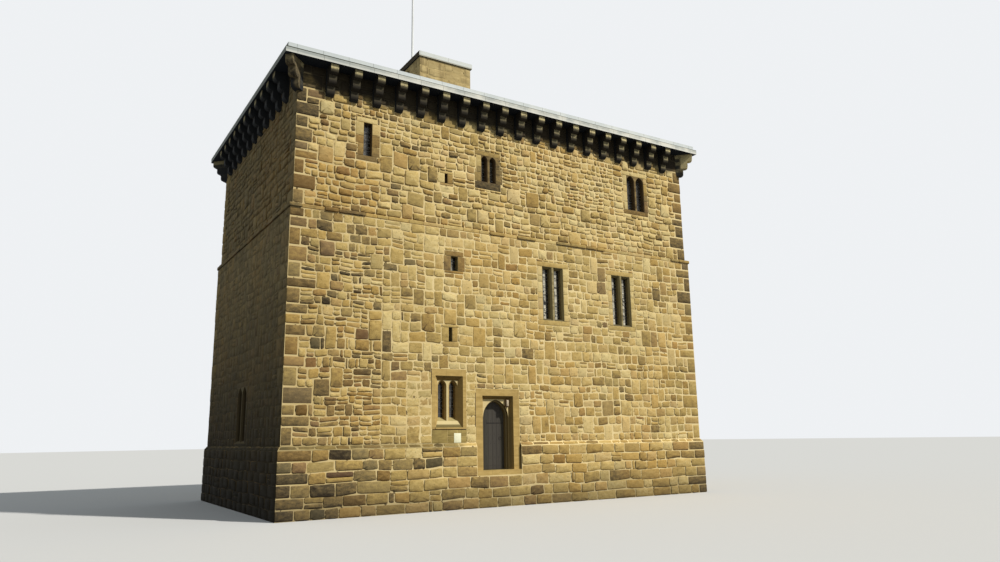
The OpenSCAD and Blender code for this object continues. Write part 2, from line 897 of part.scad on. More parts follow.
module door_arch() {
    color("wheat") intersection() {
        door_stone();
        door_column(door_stone_half, -past, door_stone_d, spring_z, door_stone_z);
    }
}

// Upright boards with grooves between them, and three ledges behind
module door_leaf() {
    leaf_spring = spring_h - foot_gap;
    boards = round(2 * leaf_half / board_w);
    pitch = 2 * leaf_half / boards;
    color("darkslategray") {
        difference() {
            translate([door_cx, leaf_y, door_z + foot_gap])
                upright(0, leaf_t) intersection() {
                    arch_2d(leaf_half, arch_r - order_step + leaf_lap, leaf_spring);
                    translate([-far / 2, 0]) square([far, far]);
                }
            for (i = [1 : boards - 1])
                translate([hinge_x + i * pitch - board_groove / 2, leaf_y - past, door_z])
                    cube([board_groove, board_groove + past, far / 4]);
        }
        for (z = [strap_z[0] - ledge_h, (strap_z[0] + strap_z[1]) / 2, strap_z[1] - ledge_h])
            translate([hinge_x + eye_r + past, leaf_y + leaf_t, z])
                cube([2 * leaf_half - 2 * (eye_r + past), ledge_t, ledge_h]);
    }
}

// Two strap hinges on the back, a bar across the front and a ring handle
module door_ironwork() {
    strap_short = 190;
    ring_r = 55;
    wire_r = 7;
    ring_z = door_z + 1150;
    ring_in = 200;
    bar_h = 40;
    bar_z = spring_z - 235;
    bar_from = 265;
    bar_short = 80;
    color("black") {
        for (z = strap_z) {
            difference() {
                union() {
                    translate([hinge_x, leaf_y + leaf_t, z])
                        cube([2 * leaf_half - strap_short, strap_t, strap_h]);
                    translate([hinge_x, hinge_y, z]) cylinder(h = strap_h, r = eye_r, $fn = 48);
                }
                translate([hinge_x, hinge_y, z - past])
                    cylinder(h = strap_h + 2 * past, r = pin_r + pin_gap, $fn = 48);
            }
        }
        translate([hinge_x + bar_from, leaf_y - strap_t / 2, bar_z])
            cube([2 * leaf_half - bar_from - bar_short, strap_t / 2, bar_h]);
        translate([door_cx + leaf_half - ring_in, leaf_y - wire_r, ring_z])
            rotate([90, 0, 0]) rotate_extrude($fn = 64)
                translate([ring_r, 0]) circle(r = wire_r, $fn = 24);
    }
}

// Iron pins for the strap hinges, on arms let into the side of the passage
module door_pintles() {
    arm = 2 * pin_r;
    under_strap = 2;
    color("black") for (z = strap_z) {
        translate([hinge_x, hinge_y, z - arm]) cylinder(h = strap_h + arm + past, r = pin_r, $fn = 48);
        translate([door_cx - passage_half, hinge_y - pin_r, z - arm - under_strap])
            cube([hinge_x - door_cx + passage_half + pin_r, arm, arm]);
    }
}

module storey_stone(storey) {
    color("wheat") for (win = windows) if (win[0] == storey) window_stone(win);
}

module storey_glass(storey) {
    color("darkslategray") for (win = windows) if (win[0] == storey) window_glass(win);
}

module ground_window_stone() {
    storey_stone("ground");
}

module first_window_stone() {
    storey_stone("first");
}

module upper_window_stone() {
    storey_stone("upper");
}

module ground_window_glass() {
    storey_glass("ground");
}

module first_window_glass() {
    storey_glass("first");
}

module upper_window_glass() {
    storey_glass("upper");
}

front_wall_left();
front_wall_right();
wall_over_door();
wall_under_door();
doorstep();
left_wall();
right_wall();
back_wall();
string_course();
upper_front_wall_left();
upper_front_wall_right();
upper_back_wall();
upper_left_wall();
upper_right_wall();
corbels_front();
corbels_back();
corbels_left();
corbels_right();
corner_corbels();
eaves_front();
eaves_back();
eaves_left();
eaves_right();
roof_front();
roof_back();
roof_left();
roof_right();
cap_house_walls();
cap_house_slab();
cap_house_door();
flagpole();
ground_floor();
first_floor();
second_floor();
door_jambs();
door_arch();
door_leaf();
door_ironwork();
door_pintles();
ground_window_stone();
first_window_stone();
upper_window_stone();
ground_window_glass();
first_window_glass();
upper_window_glass();
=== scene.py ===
# %% [markdown]
# A castle keep, dressed stone by stone.
#
# The measured model already holds the walls, windows, corbels, roof and door as solids in metres,
# with +Z up and the front wall facing -Y. It is loaded once and never changed. Everything that
# follows is either a finish for one of those solids or a new piece that sits on one of them.

# %% Load the measured keep
import math
import random
from collections import namedtuple

import bmesh
import bpy
import numpy as np
from mathutils import Matrix, Vector


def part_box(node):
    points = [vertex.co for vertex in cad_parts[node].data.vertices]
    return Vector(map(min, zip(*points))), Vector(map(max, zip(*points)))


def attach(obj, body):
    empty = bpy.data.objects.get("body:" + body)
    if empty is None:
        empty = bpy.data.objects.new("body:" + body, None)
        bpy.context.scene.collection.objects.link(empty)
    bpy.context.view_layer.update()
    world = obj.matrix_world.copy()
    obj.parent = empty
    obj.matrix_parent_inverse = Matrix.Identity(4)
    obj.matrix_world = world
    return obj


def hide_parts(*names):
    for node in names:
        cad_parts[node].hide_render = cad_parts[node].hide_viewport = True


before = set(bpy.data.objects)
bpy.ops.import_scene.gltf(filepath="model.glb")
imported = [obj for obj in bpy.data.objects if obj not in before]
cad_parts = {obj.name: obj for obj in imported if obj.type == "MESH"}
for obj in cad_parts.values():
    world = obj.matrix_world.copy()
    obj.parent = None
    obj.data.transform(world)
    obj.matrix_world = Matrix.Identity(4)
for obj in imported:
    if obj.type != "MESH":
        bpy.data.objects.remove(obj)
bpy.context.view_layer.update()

# %% [markdown]
# The camera is a little above eye height and looks up at the near corner.
# Turning a camera by Euler angles is easy to get wrong when it is both pitched and rolled, so its
# three axes are worked out as vectors and written straight into its matrix.

# %% Place the camera
CAMERA_AT = Vector((-16.315, -30.234, 2.473))
CAMERA_YAW = 31.94
CAMERA_PITCH = 11.80
CAMERA_ROLL = -0.93
LENS = 27.06


def camera_matrix(at, yaw, pitch, roll):
    """A camera at a point: yaw turns it right from +Y, pitch tilts it up, roll leans it."""
    yaw, pitch, roll = (math.radians(angle) for angle in (yaw, pitch, roll))
    ahead = Vector((math.sin(yaw) * math.cos(pitch), math.cos(yaw) * math.cos(pitch), math.sin(pitch)))
    level = Vector((math.cos(yaw), -math.sin(yaw), 0))
    upright = level.cross(ahead)
    right = math.cos(roll) * level + math.sin(roll) * upright
    up = math.cos(roll) * upright - math.sin(roll) * level
    turn = Matrix((right, up, -ahead)).transposed().to_4x4()
    return Matrix.Translation(at) @ turn


scene = bpy.context.scene
camera = bpy.data.objects.new("view_camera", bpy.data.cameras.new("view_camera"))
scene.collection.objects.link(camera)
camera.data.sensor_width = 36
camera.data.lens = LENS
camera.data.clip_end = 500
camera.matrix_world = camera_matrix(CAMERA_AT, CAMERA_YAW, CAMERA_PITCH, CAMERA_ROLL)
scene.camera = camera

# %% [markdown]
# Light. One broad sun from the front right models the stones and leaves the left wall in shade, and
# an even sky fills in. The floor and the sky look nearly white to the camera, but only through the
# Light Path node, so they add no extra light to the stone.

# %% The sun
SUN_STRENGTH = 3.3
SUN_FROM = Vector((0.50, -0.72, 0.85))

sun = bpy.data.objects.new("sun", bpy.data.lights.new("sun", "SUN"))
scene.collection.objects.link(sun)
sun.data.energy = SUN_STRENGTH
sun.data.angle = math.radians(2)
sun.data.color = (1.0, 0.965, 0.90)
sun.rotation_euler = SUN_FROM.to_track_quat("Z", "Y").to_euler()
print("the sun stands", round(math.degrees(math.atan2(SUN_FROM.z, SUN_FROM.xy.length))), "degrees high")

# %% A sky that is pale only to the camera
SKY_STRENGTH = 0.40
BACKDROP = (0.86, 0.88, 0.90, 1)

world = bpy.data.worlds.new("sky")
scene.world = world
world.use_nodes = True
sky_tree = world.node_tree
sky_fill = sky_tree.nodes["Background"]
sky_fill.inputs["Color"].default_value = (0.88, 0.95, 1.0, 1)
sky_fill.inputs["Strength"].default_value = SKY_STRENGTH


def choose_for_camera(tree, plain, pale, output):
    """Sends the pale shader to camera, glossy and transmission rays, and the plain one to others."""
    path = tree.nodes.new("ShaderNodeLightPath")
    seen = path.outputs["Is Camera Ray"]
    for other in ("Is Glossy Ray", "Is Transmission Ray"):
        either = tree.nodes.new("ShaderNodeMath")
        either.operation = "MAXIMUM"
        tree.links.new(seen, either.inputs[0])
        tree.links.new(path.outputs[other], either.inputs[1])
        seen = either.outputs[0]
    choose = tree.nodes.new("ShaderNodeMixShader")
    tree.links.new(seen, choose.inputs[0])
    tree.links.new(plain, choose.inputs[1])
    tree.links.new(pale, choose.inputs[2])
    tree.links.new(choose.outputs[0], output)


pale_sky = sky_tree.nodes.new("ShaderNodeBackground")
pale_sky.inputs["Color"].default_value = BACKDROP
choose_for_camera(sky_tree, sky_fill.outputs[0], pale_sky.outputs[0],
                  sky_tree.nodes["World Output"].inputs["Surface"])
scene.view_settings.view_transform = "Standard"
print("sky strength", SKY_STRENGTH, "beside a sun of", SUN_STRENGTH)

# %% [markdown]
# Shader maths reads best as ordinary Python. `Wire` wraps one output socket of a material, so that
# `1 - mask * 0.5` adds the Math nodes by itself, and `node` adds any other kind of node: its settings
# go in first, because they decide which sockets it has.

# %% A small class for wiring materials
class Wire:
    """An output socket of a material's node tree that works with Python's operators."""

    def __init__(self, tree, socket=None):
        self.tree = tree
        self.socket = socket

    def node(self, kind, settings=None, values=None, out=0):
        made = self.tree.nodes.new(kind)
        for name, value in (settings or {}).items():
            if name == "stops":
                set_stops(made.color_ramp, value)
            else:
                setattr(made, name, value)
        for name, value in (values or {}).items():
            if isinstance(value, Wire):
                self.tree.links.new(value.socket, made.inputs[name])
            else:
                made.inputs[name].default_value = value
        return Wire(self.tree, made.outputs[out])

    def math(self, operation, *values):
        return self.node("ShaderNodeMath", {"operation": operation}, dict(enumerate(values)))

    def __add__(self, other):
        return self.math("ADD", self, other)

    def __sub__(self, other):
        return self.math("SUBTRACT", self, other)

    def __mul__(self, other):
        return self.math("MULTIPLY", self, other)

    def __truediv__(self, other):
        return self.math("DIVIDE", self, other)

    def __rsub__(self, other):
        return self.math("SUBTRACT", other, self)

    __radd__ = __add__
    __rmul__ = __mul__

    def between(self, low, high):
        """0 at low and 1 at high, eased and held outside them."""
        values = {"Value": self, "From Min": low, "From Max": high}
        return self.node("ShaderNodeMapRange", {"interpolation_type": "SMOOTHSTEP"}, values)


# %% Colours and colour ramps
def set_stops(ramp, stops):
    """Gives a colour ramp its stops, each (position, colour)."""
    while len(ramp.elements) < len(stops):
        ramp.elements.new(0.5)
    for element, (position, shade) in zip(ramp.elements, stops):
        element.position = position
        element.color = shade


def paint(red, green, blue):
    """A colour from the 0-255 numbers of a paint chart, as the linear light that shaders use."""
    linear = [(c / 255 / 12.92) if c < 11 else ((c / 255 + 0.055) / 1.055) ** 2.4 for c in (red, green, blue)]
    return (*linear, 1)


print("middle grey as light:", round(paint(128, 128, 128)[0], 3))

# %% [markdown]
# Every finish takes the same steps: it starts with an empty node tree, reads the point on the object,
# mixes clouds of noise into colours, and ends in one Principled BSDF. These are kept as functions.

# %% Start a finish
def start_finish(name):
    """A new material: returns it and a bare Wire on its empty node tree."""
    print("finish:", name)
    material = bpy.data.materials.new(name)
    material.use_nodes = True
    material.node_tree.nodes.clear()
    return material, Wire(material.node_tree)


def point_of(wire):
    """The point on the object, in metres."""
    return wire.node("ShaderNodeTexCoord", out="Object")


def place_of(wire):
    """The point on the object, and its three parts x, y and z."""
    point = point_of(wire)
    parts = [wire.node("ShaderNodeSeparateXYZ", None, {0: point}, out=axis) for axis in range(3)]
    return point, *parts


# %% Noise, luck and blending
NOISE_ROUGHNESS = 0.55


def noise(wire, point, scale, detail=3, stretch=(1, 1, 1)):
    """Cloudy noise from 0 to 1, with scale waves to the metre, drawn out along an axis by stretch."""
    drawn = wire.node("ShaderNodeMapping", None, {"Vector": point, "Scale": stretch})
    values = {"Vector": drawn, "Scale": scale, "Detail": detail, "Roughness": NOISE_ROUGHNESS}
    return wire.node("ShaderNodeTexNoise", None, values)


def luck_of(wire, number):
    """A random share from 0 to 1 for each whole number, such as a board's."""
    whole = wire.math("FLOOR", number)
    return wire.node("ShaderNodeTexWhiteNoise", {"noise_dimensions": "1D"}, {"W": whole}, out=0)


def blend(wire, share, first, second):
    """Two colours mixed by share."""
    return wire.node("ShaderNodeMix", {"data_type": "RGBA"}, {0: share, 6: first, 7: second}, out=2)


# %% End a finish, and give it to solids
MATT = 0.12      # masonry hardly shines at all, and 0.5 is the usual share


def finish(wire, colour, roughness, height=None, depth=0.004, metallic=0.0, coat=0.0, shine=0.5):
    """Ends a material: Principled BSDF with a bump from height, whose 0 to 1 stands for depth metres."""
    values = {"Base Color": colour, "Roughness": roughness, "Metallic": metallic,
              "Coat Weight": coat, "Specular IOR Level": shine}
    if height is not None:
        bump = {"Height": height, "Distance": depth, "Strength": 1.0}
        values["Normal"] = wire.node("ShaderNodeBump", None, bump)
    shader = wire.node("ShaderNodeBsdfPrincipled", None, values)
    end = wire.tree.nodes.new("ShaderNodeOutputMaterial")
    wire.tree.links.new(shader.socket, end.inputs["Surface"])


def give(material, *nodes):
    """Puts a finish on measured solids."""
    for name in nodes:
        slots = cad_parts[name].data.materials
        slots.clear()
        slots.append(material)


# %% [markdown]
# Lime mortar fills the space between the stones and covers the rough core of the wall, so it is the
# finish of the wall solids themselves. It is a pale warm cream with a sandy surface. Large soft
# noise gives the patches that weather makes, and fine noise gives the grit.

# %% Which way a surface faces
def facing_of(wire, axis):
    """How far the surface faces along an axis, from -1 to 1."""
    normal = wire.node("ShaderNodeNewGeometry", out="Normal")
    return wire.node("ShaderNodeSeparateXYZ", None, {0: normal}, out=axis)


def turned_to(wire, axis):
    """How far the surface faces along an axis, either way, from 0 to 1."""
    return wire.math("ABSOLUTE", facing_of(wire, axis))


def faces_left(wire):
    """1 on every surface that faces to the left."""
    return 1 - facing_of(wire, 0).between(-0.8, -0.5)


# %% Soot and painted shade
def soot_and_shade_of(wire, point, x, z):
    """Darkening by soot and painted shade high up between the corbels, and by painted shade at the foot."""
    cloud = (noise(wire, point, 1.3, 4) - 0.5) * 1.1
    # Near the left end of the walls the darkening under the eaves starts higher, a painted sunlit patch.
    sunlit_corner = x.between(-9.36, -9.32) * (1 - x.between(-8.9, -8.4))
    height = z + cloud * 0.6 - sunlit_corner * 0.5
    under_eaves = height.between(14.62, 15.02) * (1 - z.between(15.9, 16.1))
    # The darkening at the foot is painted shade.
    damp = (1 - (z + cloud).between(-0.2, 1.5)) * 0.5
    return under_eaves * 0.96 + damp


def left_shade_of(wire, z):
    """Painted shade down the left wall, rising towards its foot, and 0 on the other sides."""
    return faces_left(wire) * (1 - z.between(0.0, 10.0)) * 0.98


def ledge_of(x, z):
    """1 on the sloping top of the plinth left of the door, which is green and brown with damp."""
    return z.between(2.15, 2.19) * (1 - z.between(2.32, 2.36)) * (1 - x.between(-3.1, -2.5))


# %% Lime mortar
def mortar_finish(name, pale, deep):
    """Sandy lime mortar with weather patches, soot, and painted shade in small hollows and on the left wall.
    """
    material, wire = start_finish(name)
    point, x, y, z = place_of(wire)
    patches = noise(wire, point, 0.9, 4)
    grit = noise(wire, point, 38, 3)
    colour = blend(wire, (patches * 0.75 + grit * 0.25).between(0.3, 0.7), deep, pale)
    colour = blend(wire, (1 - x.between(-9.0, -2.0)) * 0.35, colour, paint(170, 146, 96))
    # The left wall's mortar is painted darker, as shade.
    shaded_mortar = blend(wire, patches.between(0.35, 0.65), paint(108, 96, 66), paint(130, 116, 82))
    left_wall = faces_left(wire) * (1 - x.between(-9.0, -8.5))
    colour = blend(wire, left_wall, colour, shaded_mortar)
    # Small dark hollows where mortar has fallen out are painted shade.
    hollow_shade = noise(wire, point, 6.5, 2).between(0.64, 0.69)
    colour = blend(wire, hollow_shade * 0.85, colour, paint(66, 50, 26))
    colour = blend(wire, ledge_of(x, z) * 0.55, colour, paint(100, 90, 56))
    colour = blend(wire, soot_and_shade_of(wire, point, x, z), colour, paint(62, 56, 46))
    colour = blend(wire, left_shade_of(wire, z), colour, paint(24, 20, 8))
    finish(wire, colour, 0.92 + grit * 0.06, grit, 0.004, shine=MATT)
    return material


cap_mortar = mortar_finish("cap_house_mortar", paint(200, 178, 124), paint(172, 150, 102))
mortar = mortar_finish("lime_mortar", paint(250, 227, 170), paint(226, 201, 142))
WALLS = ["front_wall_left", "front_wall_right", "wall_over_door", "wall_under_door", "right_wall",
         "back_wall", "upper_front_wall_left", "upper_front_wall_right", "upper_back_wall",
         "upper_right_wall", "left_wall", "upper_left_wall"]
give(mortar, *WALLS)
give(cap_mortar, "cap_house_walls")
print("mortar on", len(WALLS) + 1, "walls")

# %% [markdown]
# The rubble is honey-coloured sandstone, and no two stones match: most are buff, some are brown or
# nearly black, a few are cream. One random number per stone, stored on its mesh as the attribute
# `tone`, picks a colour from a ramp, so that a stone is one colour all over and joints stay crisp.
# The same number times 57, with its whole part cut off, is as good as a second random number, and
# gives some stones a rusty and some an olive tint. A second attribute is 1 where a stone meets the
# mortar, and that edge is painted darker, as shade. Surfaces that face down are painted darker too,
# as shade.

# %% Colours of the rubble
RUBBLE_STOPS = [(0.0, paint(58, 50, 38)), (0.16, paint(98, 85, 60)), (0.32, paint(142, 120, 77)),
                (0.52, paint(182, 155, 93)), (0.72, paint(206, 179, 114)), (1.0, paint(230, 208, 148))]
SECOND_LUCK, THIRD_LUCK = 57.3, 131.7


def attribute(wire, name):
    """A number stored on the mesh's points."""
    return wire.node("ShaderNodeAttribute", {"attribute_name": name}, out="Fac")


# %% Rubble sandstone: how pale each stone is
rubble, wire = start_finish("rubble_sandstone")
point, x, y, z = place_of(wire)
stains = noise(wire, point, 5.5, 5, stretch=(1, 1, 1.8))
grain = noise(wire, point, 32, 4)
drift = noise(wire, point, 0.4, 3)
tone = attribute(wire, "tone")
# Faces that look down are painted darker, as shade.
under = 1 - facing_of(wire, 2).between(-0.45, 0.05)
# Darker towards the left end of the front, and more so low down, where it is a painted shadow.
left_end = 1 - x.between(-9.0, -2.0)
left_end_darkening_and_shadow = left_end * (0.14 + (1 - z.between(3.0, 8.5)) * 0.08)
shade = tone + (stains - 0.5) * 0.6 + (grain - 0.5) * 0.3 + (drift - 0.5) * 0.3
shade = shade - under * 0.2 - left_end_darkening_and_shadow + 0.05
shade = shade + (x.between(-3.0, 5.0) * 0.09 + 0.05) * z.between(9.5, 11.0)

# %% Rubble sandstone: its colours
base = wire.node("ShaderNodeValToRGB", {"stops": RUBBLE_STOPS}, {0: shade})
tint = wire.math("FRACT", tone * SECOND_LUCK)
base = blend(wire, tint.between(0.66, 1.0) * 0.24, base, paint(196, 146, 62))
base = blend(wire, (1 - tint.between(0.0, 0.35)) * 0.30, base, paint(150, 138, 98))
blush = wire.math("FRACT", tone * THIRD_LUCK).between(0.75, 1.0)
base = blend(wire, blush * 0.28, base, paint(172, 128, 92))
warm_zone = noise(wire, point, 0.22, 2).between(0.52, 0.66)
base = blend(wire, warm_zone * 0.22, base, paint(204, 154, 76))

# %% Rubble sandstone: its weather
lichen = noise(wire, point, 2.4, 5).between(0.60, 0.76) * 0.5
base = blend(wire, lichen, base, paint(78, 66, 44))
pits = noise(wire, point, 13, 4).between(0.56, 0.72) * 0.4
base = blend(wire, pits, base, paint(92, 74, 42))
# Stone edges next to the joints are painted darker, as shade.
base = blend(wire, attribute(wire, "rim") * 0.22, base, paint(116, 94, 56))
base = blend(wire, ledge_of(x, z) * 0.55, base, paint(90, 80, 48))
# The left wall is painted darker and blotched, as shade.
left_wall = faces_left(wire) * (1 - x.between(-9.2, -8.9))
base = blend(wire, left_wall * 0.6, base, paint(130, 117, 84))
blotches = noise(wire, point, 3.4, 5).between(0.52, 0.62)
base = blend(wire, left_wall * blotches * 0.36, base, paint(50, 42, 28))
# Soot and painted shade under the eaves and at the foot, then painted shade down the left wall.
base = blend(wire, soot_and_shade_of(wire, point, x, z), base, paint(58, 52, 43))
base = blend(wire, left_shade_of(wire, z), base, paint(19, 16, 6))
finish(wire, base, 0.86 + grain * 0.1, grain * 0.45 + stains * 0.55, 0.018, shine=MATT)
print("rubble has", len(rubble.node_tree.nodes), "nodes")

# %% [markdown]
# Dressed stone is the smooth squared masonry round the doorway and windows. It comes in large blocks
# with thin joints. The joints are drawn in the material: a saw-tooth of the height is near 0 at each
# bed, and a second one along the wall, shifted in every other course, makes the upright joints. Faces
# that turn away from the front of the wall, such as reveals, are painted darker, as shade, all but
# those that face right, and faces that look up, such as sills, have a colour of their own.

# %% Joints between dressed blocks
THIN_JOINT = 0.007


def along_wall(wire, x, y):
    """The distance along the wall: x on its front and back, y on its two sides."""
    return x + (y - x) * turned_to(wire, 0).between(0.4, 0.6)


def block_joints(wire, point, x, y, z, course, length):
    """1 on the thin joints between blocks of this height and length, and 0 on the blocks."""
    wobble = (noise(wire, point, 3) - 0.5) * 0.02
    row = (z + wobble) / course
    shift = wire.math("FLOOR", row) * 0.5
    column = wire.math("FRACT", (along_wall(wire, x, y) + wobble) / length + shift)
    in_row = wire.math("FRACT", row)
    level = wire.math("MINIMUM", in_row, 1 - in_row) * course
    upright = wire.math("MINIMUM", column, 1 - column) * length
    return 1 - wire.math("MINIMUM", level, upright).between(THIN_JOINT * 0.4, THIN_JOINT)


# %% Weather and painted shade round the doorway
def outward_of(wire, x):
    """1 on faces that look straight out of their wall: along x on the two side walls, else along y."""
    side_wall = wire.math("ABSOLUTE", x).between(8.0, 8.1)
    ahead, sideways = turned_to(wire, 1), turned_to(wire, 0)
    return (ahead + (sideways - ahead) * side_wall).between(0.75, 0.95)


def doorway_weather_and_shade(wire, base, x, y, z, outward, upward):
    """Weather and painted shade on the stones of the doorway and the ground windows, each in its place.

    The flat faces that are set back are pale. The arch and the foot of its jambs are painted dark, as
    shade, the left side's window is painted darker, as shade, and the hollow of the front window's sill
    is darker.
    """
    recessed = 1 - wire.math("ABSOLUTE", y).between(5.60, 5.67)
    base = blend(wire, outward * recessed * 0.7, base, paint(234, 216, 164))
    # The arch and the foot of its jambs are painted dark, as shade.
    inner_arch = 1 - wire.math("ABSOLUTE", y).between(5.47, 5.52)
    low_jambs = recessed * (1 - z.between(3.2, 3.35))
    in_doorway = x.between(-2.0, -1.9) * (1 - x.between(-0.5, -0.4))
    shaded = in_doorway * wire.math("MAXIMUM", inner_arch, low_jambs)
    base = blend(wire, shaded * 0.85, base, paint(112, 96, 60))
    # The window stones on the left side are painted darker, as shade.
    base = blend(wire, (1 - x.between(-8.4, -8.3)) * 0.88, base, paint(62, 55, 40))
    hollow = upward * (1 - z.between(2.96, 3.01)) * z.between(2.80, 2.86)
    return blend(wire, hollow * 0.85, base, paint(96, 84, 46))


# %% Dressed sandstone
def dressed_finish(name, pale, deep, stain, course, length, stained=0.4, streaked=0,
                   reveal_shade=None, sill=None, by_door=False):
    """Smooth blocks with soft bedding, stains and thin joints."""
    material, wire = start_finish(name)
    point, x, y, z = place_of(wire)
    beds = noise(wire, point, 2.6, 5, stretch=(1, 1, 3))
    grain = noise(wire, point, 60, 3)
    joint = block_joints(wire, point, x, y, z, course, length)
    base = blend(wire, (beds * 0.8 + grain * 0.2).between(0.32, 0.7), deep, pale)
    base = blend(wire, noise(wire, point, 1.1, 5).between(0.52, 0.74) * stained, base, stain)
    base = blend(wire, joint * 0.4, base, stain)
    if streaked:
        runs = noise(wire, point, 4.5, 4, stretch=(1, 1, 0.16))
        base = blend(wire, runs.between(0.48, 0.72) * streaked, base, stain)
    if reveal_shade:
        outward = outward_of(wire, x)
        # Reveals that do not face right are painted darker, as shade.
        shaded = (1 - outward) * (1 - facing_of(wire, 0).between(0.3, 0.6))
        upward = facing_of(wire, 2).between(0.15, 0.5)
        base = blend(wire, shaded * (0.55 + beds * 0.5), base, reveal_shade)
        base = blend(wire, upward * (0.5 + beds * 0.4), base, sill)
    if by_door:
        base = doorway_weather_and_shade(wire, base, x, y, z, outward, upward)
    finish(wire, base, 0.84 + grain * 0.1, grain * 0.4 + (1 - joint) * 0.6, 0.005, shine=MATT)
    return material


# %% Five kinds of dressed stone
ashlar = dressed_finish("dressed_sandstone", paint(208, 178, 112), paint(184, 154, 92),
                        paint(132, 108, 66), 0.36, 0.62,
                        reveal_shade=paint(108, 88, 48), sill=paint(188, 174, 122), by_door=True)
give(ashlar, "door_jambs", "door_arch", "doorstep", "ground_window_stone")
grey_dressed = dressed_finish("grey_dressed_sandstone", paint(176, 162, 118), paint(136, 120, 80),
                              paint(70, 60, 42), 0.42, 0.70, stained=0.8,
                              reveal_shade=paint(112, 100, 66), sill=paint(92, 84, 62))
give(grey_dressed, "first_window_stone")
brown_dressed = dressed_finish("brown_dressed_sandstone", paint(160, 138, 92), paint(112, 92, 58),
                               paint(54, 44, 32), 0.42, 0.70, stained=0.85,
                               reveal_shade=paint(76, 60, 42), sill=paint(58, 48, 38))
give(brown_dressed, "upper_window_stone", "string_course")
cap_ashlar = dressed_finish("cap_house_sandstone", paint(206, 184, 130), paint(178, 156, 106),
                            paint(108, 90, 60), 9.0, 40.0, streaked=0.7)
damp_ashlar = dressed_finish("damp_dressed_sandstone", paint(180, 158, 96), paint(150, 130, 78),
                             paint(108, 92, 54), 0.36, 0.62)

# %% [markdown]
# The corbels and the eaves have weathered differently. Rain washes the flat stones of the eaves
# pale grey, while the corbels under them stay dry, and centuries of smoke have turned them nearly
# black except on their noses; that black is also painted shade under the eaves. Only faces that look
# out from the wall are noses, and their paleness is partly painted light: the upper half of a nose
# is painted paler than its round underside, as sunlit, and the corbels of the left side are painted
# darker, as shade. How pale a nose is also depends on its stage, on where it stands along the keep
# and, through a noise so slow that it changes from corbel to corbel, on luck. The one at the right
# end of the front is pale in its upper stages. The one at its left end is browned in patches.

# %% Corbels: stages, noses and luck
CORBEL_FOOT, CORBEL_STAGE = 14.64, 0.35
corbel_stone, wire = start_finish("smoke_and_shade_corbel_stone")
point, x, y, z = place_of(wire)
grain = noise(wire, point, 34, 4)
blotch = noise(wire, point, 7, 4)
luck = noise(wire, point, 0.9, 1).between(0.35, 0.65)
step = (z - CORBEL_FOOT) / CORBEL_STAGE
top_stage = step.between(1.95, 2.05)
middle_stage = step.between(0.95, 1.05) * (1 - top_stage)
past_end = wire.math("ABSOLUTE", x).between(9.24, 9.28)
past_front = wire.math("ABSOLUTE", y).between(5.57, 5.61)
looks_out = wire.math("MAXIMUM", turned_to(wire, 0) * past_end, turned_to(wire, 1) * past_front)
nose = looks_out.between(0.35, 0.65) * facing_of(wire, 2).between(-0.75, -0.3)
# The upper half of each stage is painted paler, as sunlit, and its round underside darker, as shade.
crown = wire.math("FRACT", step).between(0.36, 0.64) * 0.9 + 0.1
open_side = x.between(-4.0, 3.0)
# The corbels of the left side are painted darker, as shade.
shaded_side = (1 - x.between(-9.26, -9.2)) * (1 - top_stage * 0.5)

# %% Corbels: colours
paleness = top_stage * (0.56 + luck * 0.36) + middle_stage * (0.01 + open_side * 0.17)
paleness = (paleness + 0.06 + open_side * 0.20) * crown * (1 - shaded_side * 0.8)
right_corner = x.between(9.2, 9.3) * (1 - y.between(-5.7, -5.5)) * step.between(0.8, 1.1)
pale_and_lit = wire.math("MAXIMUM", nose * paleness * blotch.between(0.25, 0.5), right_corner)
front_side = 1 - y.between(-5.8, -5.7)
left_corner = front_side * (1 - x.between(-9.3, -9.2))
# The black is soot, and painted shade under the eaves too.
black = blend(wire, front_side, paint(46, 48, 50), paint(50, 46, 40))
base = blend(wire, pale_and_lit, black, paint(220, 204, 152))
base = blend(wire, left_corner * blotch.between(0.3, 0.6) * 0.6, base, paint(148, 132, 98))
base = blend(wire, grain.between(0.45, 0.7) * 0.35, base, paint(40, 37, 33))
finish(wire, base, 0.9, grain * 0.5 + blotch * 0.5, 0.014, shine=MATT)
give(corbel_stone, "corbels_front", "corbels_back", "corbels_left", "corbels_right", "corner_corbels")


